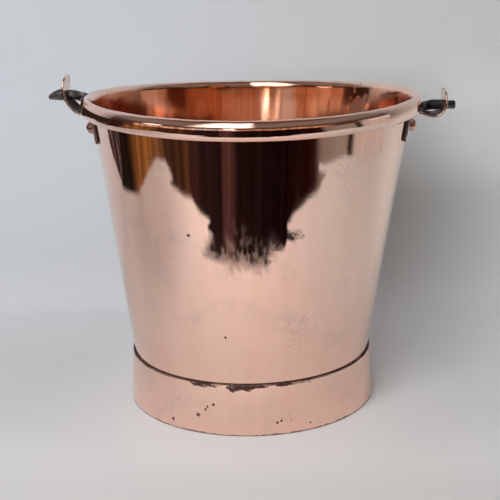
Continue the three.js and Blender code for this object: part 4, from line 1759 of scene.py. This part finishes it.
    def camera(self) -> None:
        """Sets the camera where the photograph was taken from: a little right of the middle, looking down."""
        pitch, roll = self.eye_pitch, self.eye_roll
        spin = Matrix.Rotation(math.radians(self.eye_turn), 4, "Z")
        right = (spin @ Vector((1.0, 0.0, 0.0))).normalized()
        ahead = (spin @ Vector((0.0, math.cos(pitch), -math.sin(pitch)))).normalized()
        up = right.cross(ahead)
        across = right * math.cos(roll) - up * math.sin(roll)
        upward = right * math.sin(roll) + up * math.cos(roll)
        data = bpy.data.cameras.new("camera")
        data.sensor_width = 36.0
        data.lens = data.sensor_width * self.focal / self.width
        data.clip_start, data.clip_end = 0.01, 60.0
        camera = bpy.data.objects.new("camera", data)
        place = Matrix((across, upward, -ahead)).transposed().to_4x4()
        place.translation = (spin @ Vector(self.eye) + Vector((AXIS_X, AXIS_Y, 0.0))) * MM
        camera.matrix_world = place
        bpy.context.scene.collection.objects.link(camera)
        bpy.context.scene.camera = camera

    def build(self) -> None:
        """Sets up the whole studio."""
        bpy.context.scene.view_settings.view_transform = "Standard"
        self.floor()
        self.backdrop()
        self.room()
        self.far_wall()
        self.left_shade()
        self.left_card()
        self.lights()
        self.camera()


# The finishes of this bucket

WALL_COPPER = CopperFinish(
    "wall_copper",
    # The inner colour is painted shade and reflection inside the bucket
    inner=(0.90, 0.475, 0.33),
    # A dark line at the foot seam: grime with painted shade between the parts
    bands=(Band(0.0455, 0.0004, 0.0001),),
    patches=(
        Patch((0.0390, -0.1090, 0.0870), 0.031, flat=1.0, specks=520.0, strength=0.34, bare=0.55),
        Patch((0.0780, -0.1134, 0.2170), 0.022, flat=0.7, specks=330.0, strength=0.18, bare=0.58),
        Patch((-0.1330, 0.0300, 0.2450), 0.018, flat=0.6, specks=60.0, strength=0.55, bare=0.30),
        # Painted shade on the inside wall at the right, standing in for a dark reflection
        Patch((0.1010, 0.0900, 0.2450), 0.021, flat=0.6, specks=60.0, strength=0.55, bare=0.30),
        Patch((0.0408, -0.1255, 0.1776), 0.009, specks=300.0, strength=0.5, bare=0.5),
    ),
    spots=(Spot((-0.0490, -0.1236, 0.1782), 0.0013), Spot((-0.0218, -0.1179, 0.0893), 0.0010)),
    bruises=(
        Bruise((-0.0020, -0.1315, 0.1680), 0.044, 0.013, 0.15),
        Bruise((0.0150, -0.1400, 0.2400), 0.050, 0.012, 0.02),
    ),
)
FOOT_COPPER = CopperFinish(
    "foot_copper",
    hazy=0.13,
    # A dark line at the seam, grime with painted shade between the parts, and a dark ragged line along the
    # bottom edge
    bands=(Band(0.0459, 0.0007, 0.0005), Band(0.0, 0.0012, 0.0014, 0.9)),
    patches=(
        Patch((-0.0456, -0.1072, 0.0442), 0.019, flat=4.6, specks=200.0, strength=1.0, bare=0.36),
        Patch((-0.0130, -0.1154, 0.0432), 0.020, flat=3.9, specks=200.0, strength=1.0, bare=0.33),
        Patch((0.0060, -0.1150, 0.0440), 0.014, flat=4.4, specks=220.0, strength=1.0, bare=0.36),
        Patch((0.0250, -0.1117, 0.0442), 0.013, flat=4.4, specks=220.0, strength=1.0, bare=0.37),
        Patch((0.0420, -0.1050, 0.0440), 0.016, flat=5.0, specks=260.0, strength=0.7, bare=0.44),
        Patch((-0.0640, -0.0985, 0.0250), 0.026, flat=1.6, specks=520.0, strength=0.5, bare=0.60),
        Patch((-0.0420, -0.1098, 0.0220), 0.016, flat=1.2, specks=420.0, strength=0.7, bare=0.62),
        Patch((0.0314, -0.1111, 0.0140), 0.018, flat=2.2, specks=420.0, strength=0.45, bare=0.58),
        Patch((0.0800, -0.0786, 0.0186), 0.020, flat=1.2, specks=330.0, strength=0.24, bare=0.56),
    ),
    spots=(
        Spot((-0.0472, -0.1081, 0.0164), 0.0017),
        Spot((-0.0409, -0.1102, 0.0219), 0.0011),
        Spot((-0.0391, -0.1106, 0.0248), 0.0009),
        Spot((-0.0338, -0.1121, 0.0272), 0.0012),
        Spot((-0.0702, -0.0957, 0.0074), 0.0013),
        Spot((0.0203, -0.1143, 0.0113), 0.0012),
        Spot((0.0237, -0.1134, 0.0127), 0.0010),
        Spot((0.0485, -0.1042, 0.0066), 0.0009),
        Spot((0.0672, -0.0893, 0.0440), 0.0011, (0.90, 0.90, 0.86)),
    ),
)
BASE_COPPER = CopperFinish("base_copper", smooth=0.18, hazy=0.34, ripple=0.12, streak=(1.0, 1.0, 1.0))
EAR_COPPER = CopperFinish(
    "ear_copper",
    bright=(0.96, 0.74, 0.64),
    warm=(0.93, 0.64, 0.52),
    smooth=0.10,
    hazy=0.24,
    streak=(1.0, 1.0, 0.4),
    patches=(
        # Painted shade at the plates' front ends
        Patch((-0.1320, -0.0503, 0.2475), 0.010, flat=0.45, specks=300.0, strength=0.95, bare=0.20),
        Patch((0.1319, -0.0503, 0.2475), 0.010, flat=0.45, specks=300.0, strength=0.95, bare=0.20),
        # Grime with painted shade round the front rivets
        Patch((-0.1395, -0.0262, 0.2500), 0.008, flat=1.0, specks=300.0, strength=0.8, bare=0.35),
        Patch((0.1390, -0.0262, 0.2490), 0.008, flat=1.0, specks=300.0, strength=0.8, bare=0.35),
    ),
    # Grime with painted shade on the straps' inner faces under the bail's ends
    hollows=(
        Patch((-0.1560, -0.0046, 0.2640), 0.0185, flat=0.9, specks=120.0, strength=0.93),
        Patch((0.1570, -0.0046, 0.2600), 0.0190, flat=0.9, specks=120.0, strength=0.93),
    ),
)
# Darker than the other copper: partly tarnish, partly painted shade on the rivets
RIVET_TARNISH_AND_PAINTED_SHADE = CopperFinish(
    "rivet_copper",
    bright=(0.66, 0.40, 0.33),
    warm=(0.46, 0.25, 0.19),
    tarnish=(0.20, 0.12, 0.10),
    smooth=0.12,
    hazy=0.30,
    streak=(1.0, 1.0, 1.0),
)


def main() -> None:
    """Builds the studio and every piece of the bucket, in order."""
    logging.basicConfig(level=logging.INFO, format="%(name)s %(message)s")
    Studio().build()
    vessel = Vessel()
    hinge = frame["joints"][0]
    along = Vector(hinge["axis"]).normalized()
    left = Ear(
        vessel, Side.LEFT, 1.0, 17.2,
        ((-10.2, 1.8), (-7, 3.2), (-3.8, 6), (-0.4, 10.3), (2.6, 15.4), (4, 20.8), (4.1, 26.6), (2.6, 34.8)),
        overhang=15.2, tip_radius=1.9, tip_taper=11.0, tip_droop=0.85, collar=5.0,
    )
    right = Ear(
        vessel, Side.RIGHT, 4.4, 5.3,
        (
            (-13.2, -0.9), (-8.6, -2.7), (-5, -3.2), (-1.2, -2.8), (2, -1.1),
            (4.4, 1.9), (5.8, 6), (6.1, 11.2), (5.3, 19.6),
        ),
        overhang=8.9, tip_radius=3.1, tip_taper=1.5, tip_droop=0.0, collar=3.8,
    )
    iron = IronFinish("forged_iron").material()
    dress(vessel.wall(), "bucket", "copper", WALL_COPPER.material(), "body_wall")
    dress(vessel.foot(), "bucket", "copper", FOOT_COPPER.material(), "foot_band")
    dress(vessel.base(), "bucket", "copper", BASE_COPPER.material(), "base_plate")
    ear_copper, rivet_copper = EAR_COPPER.material(), RIVET_TARNISH_AND_PAINTED_SHADE.material()
    for ear in (left, right):
        dress(ear.piece(along), "bucket", "ear_copper", ear_copper, ear.name + "_ear")
        for way in (-1, 1):
            place = "front" if way * ear.side.value < 0 else "back"
            dress(ear.rivet(way), "bucket", "ear_copper", rivet_copper, f"{ear.name}_rivet_{place}")
    bail = Bail(vessel, left, right, Vector(hinge["pos_m"]), along)
    dress(bail.piece(), "bail", "iron", iron, "bail")
    hoop = frame["nodes"]["rim_hoop"]
    hoop.data.materials.clear()
    hoop.data.materials.append(iron)


if __name__ == "__main__":
    main()
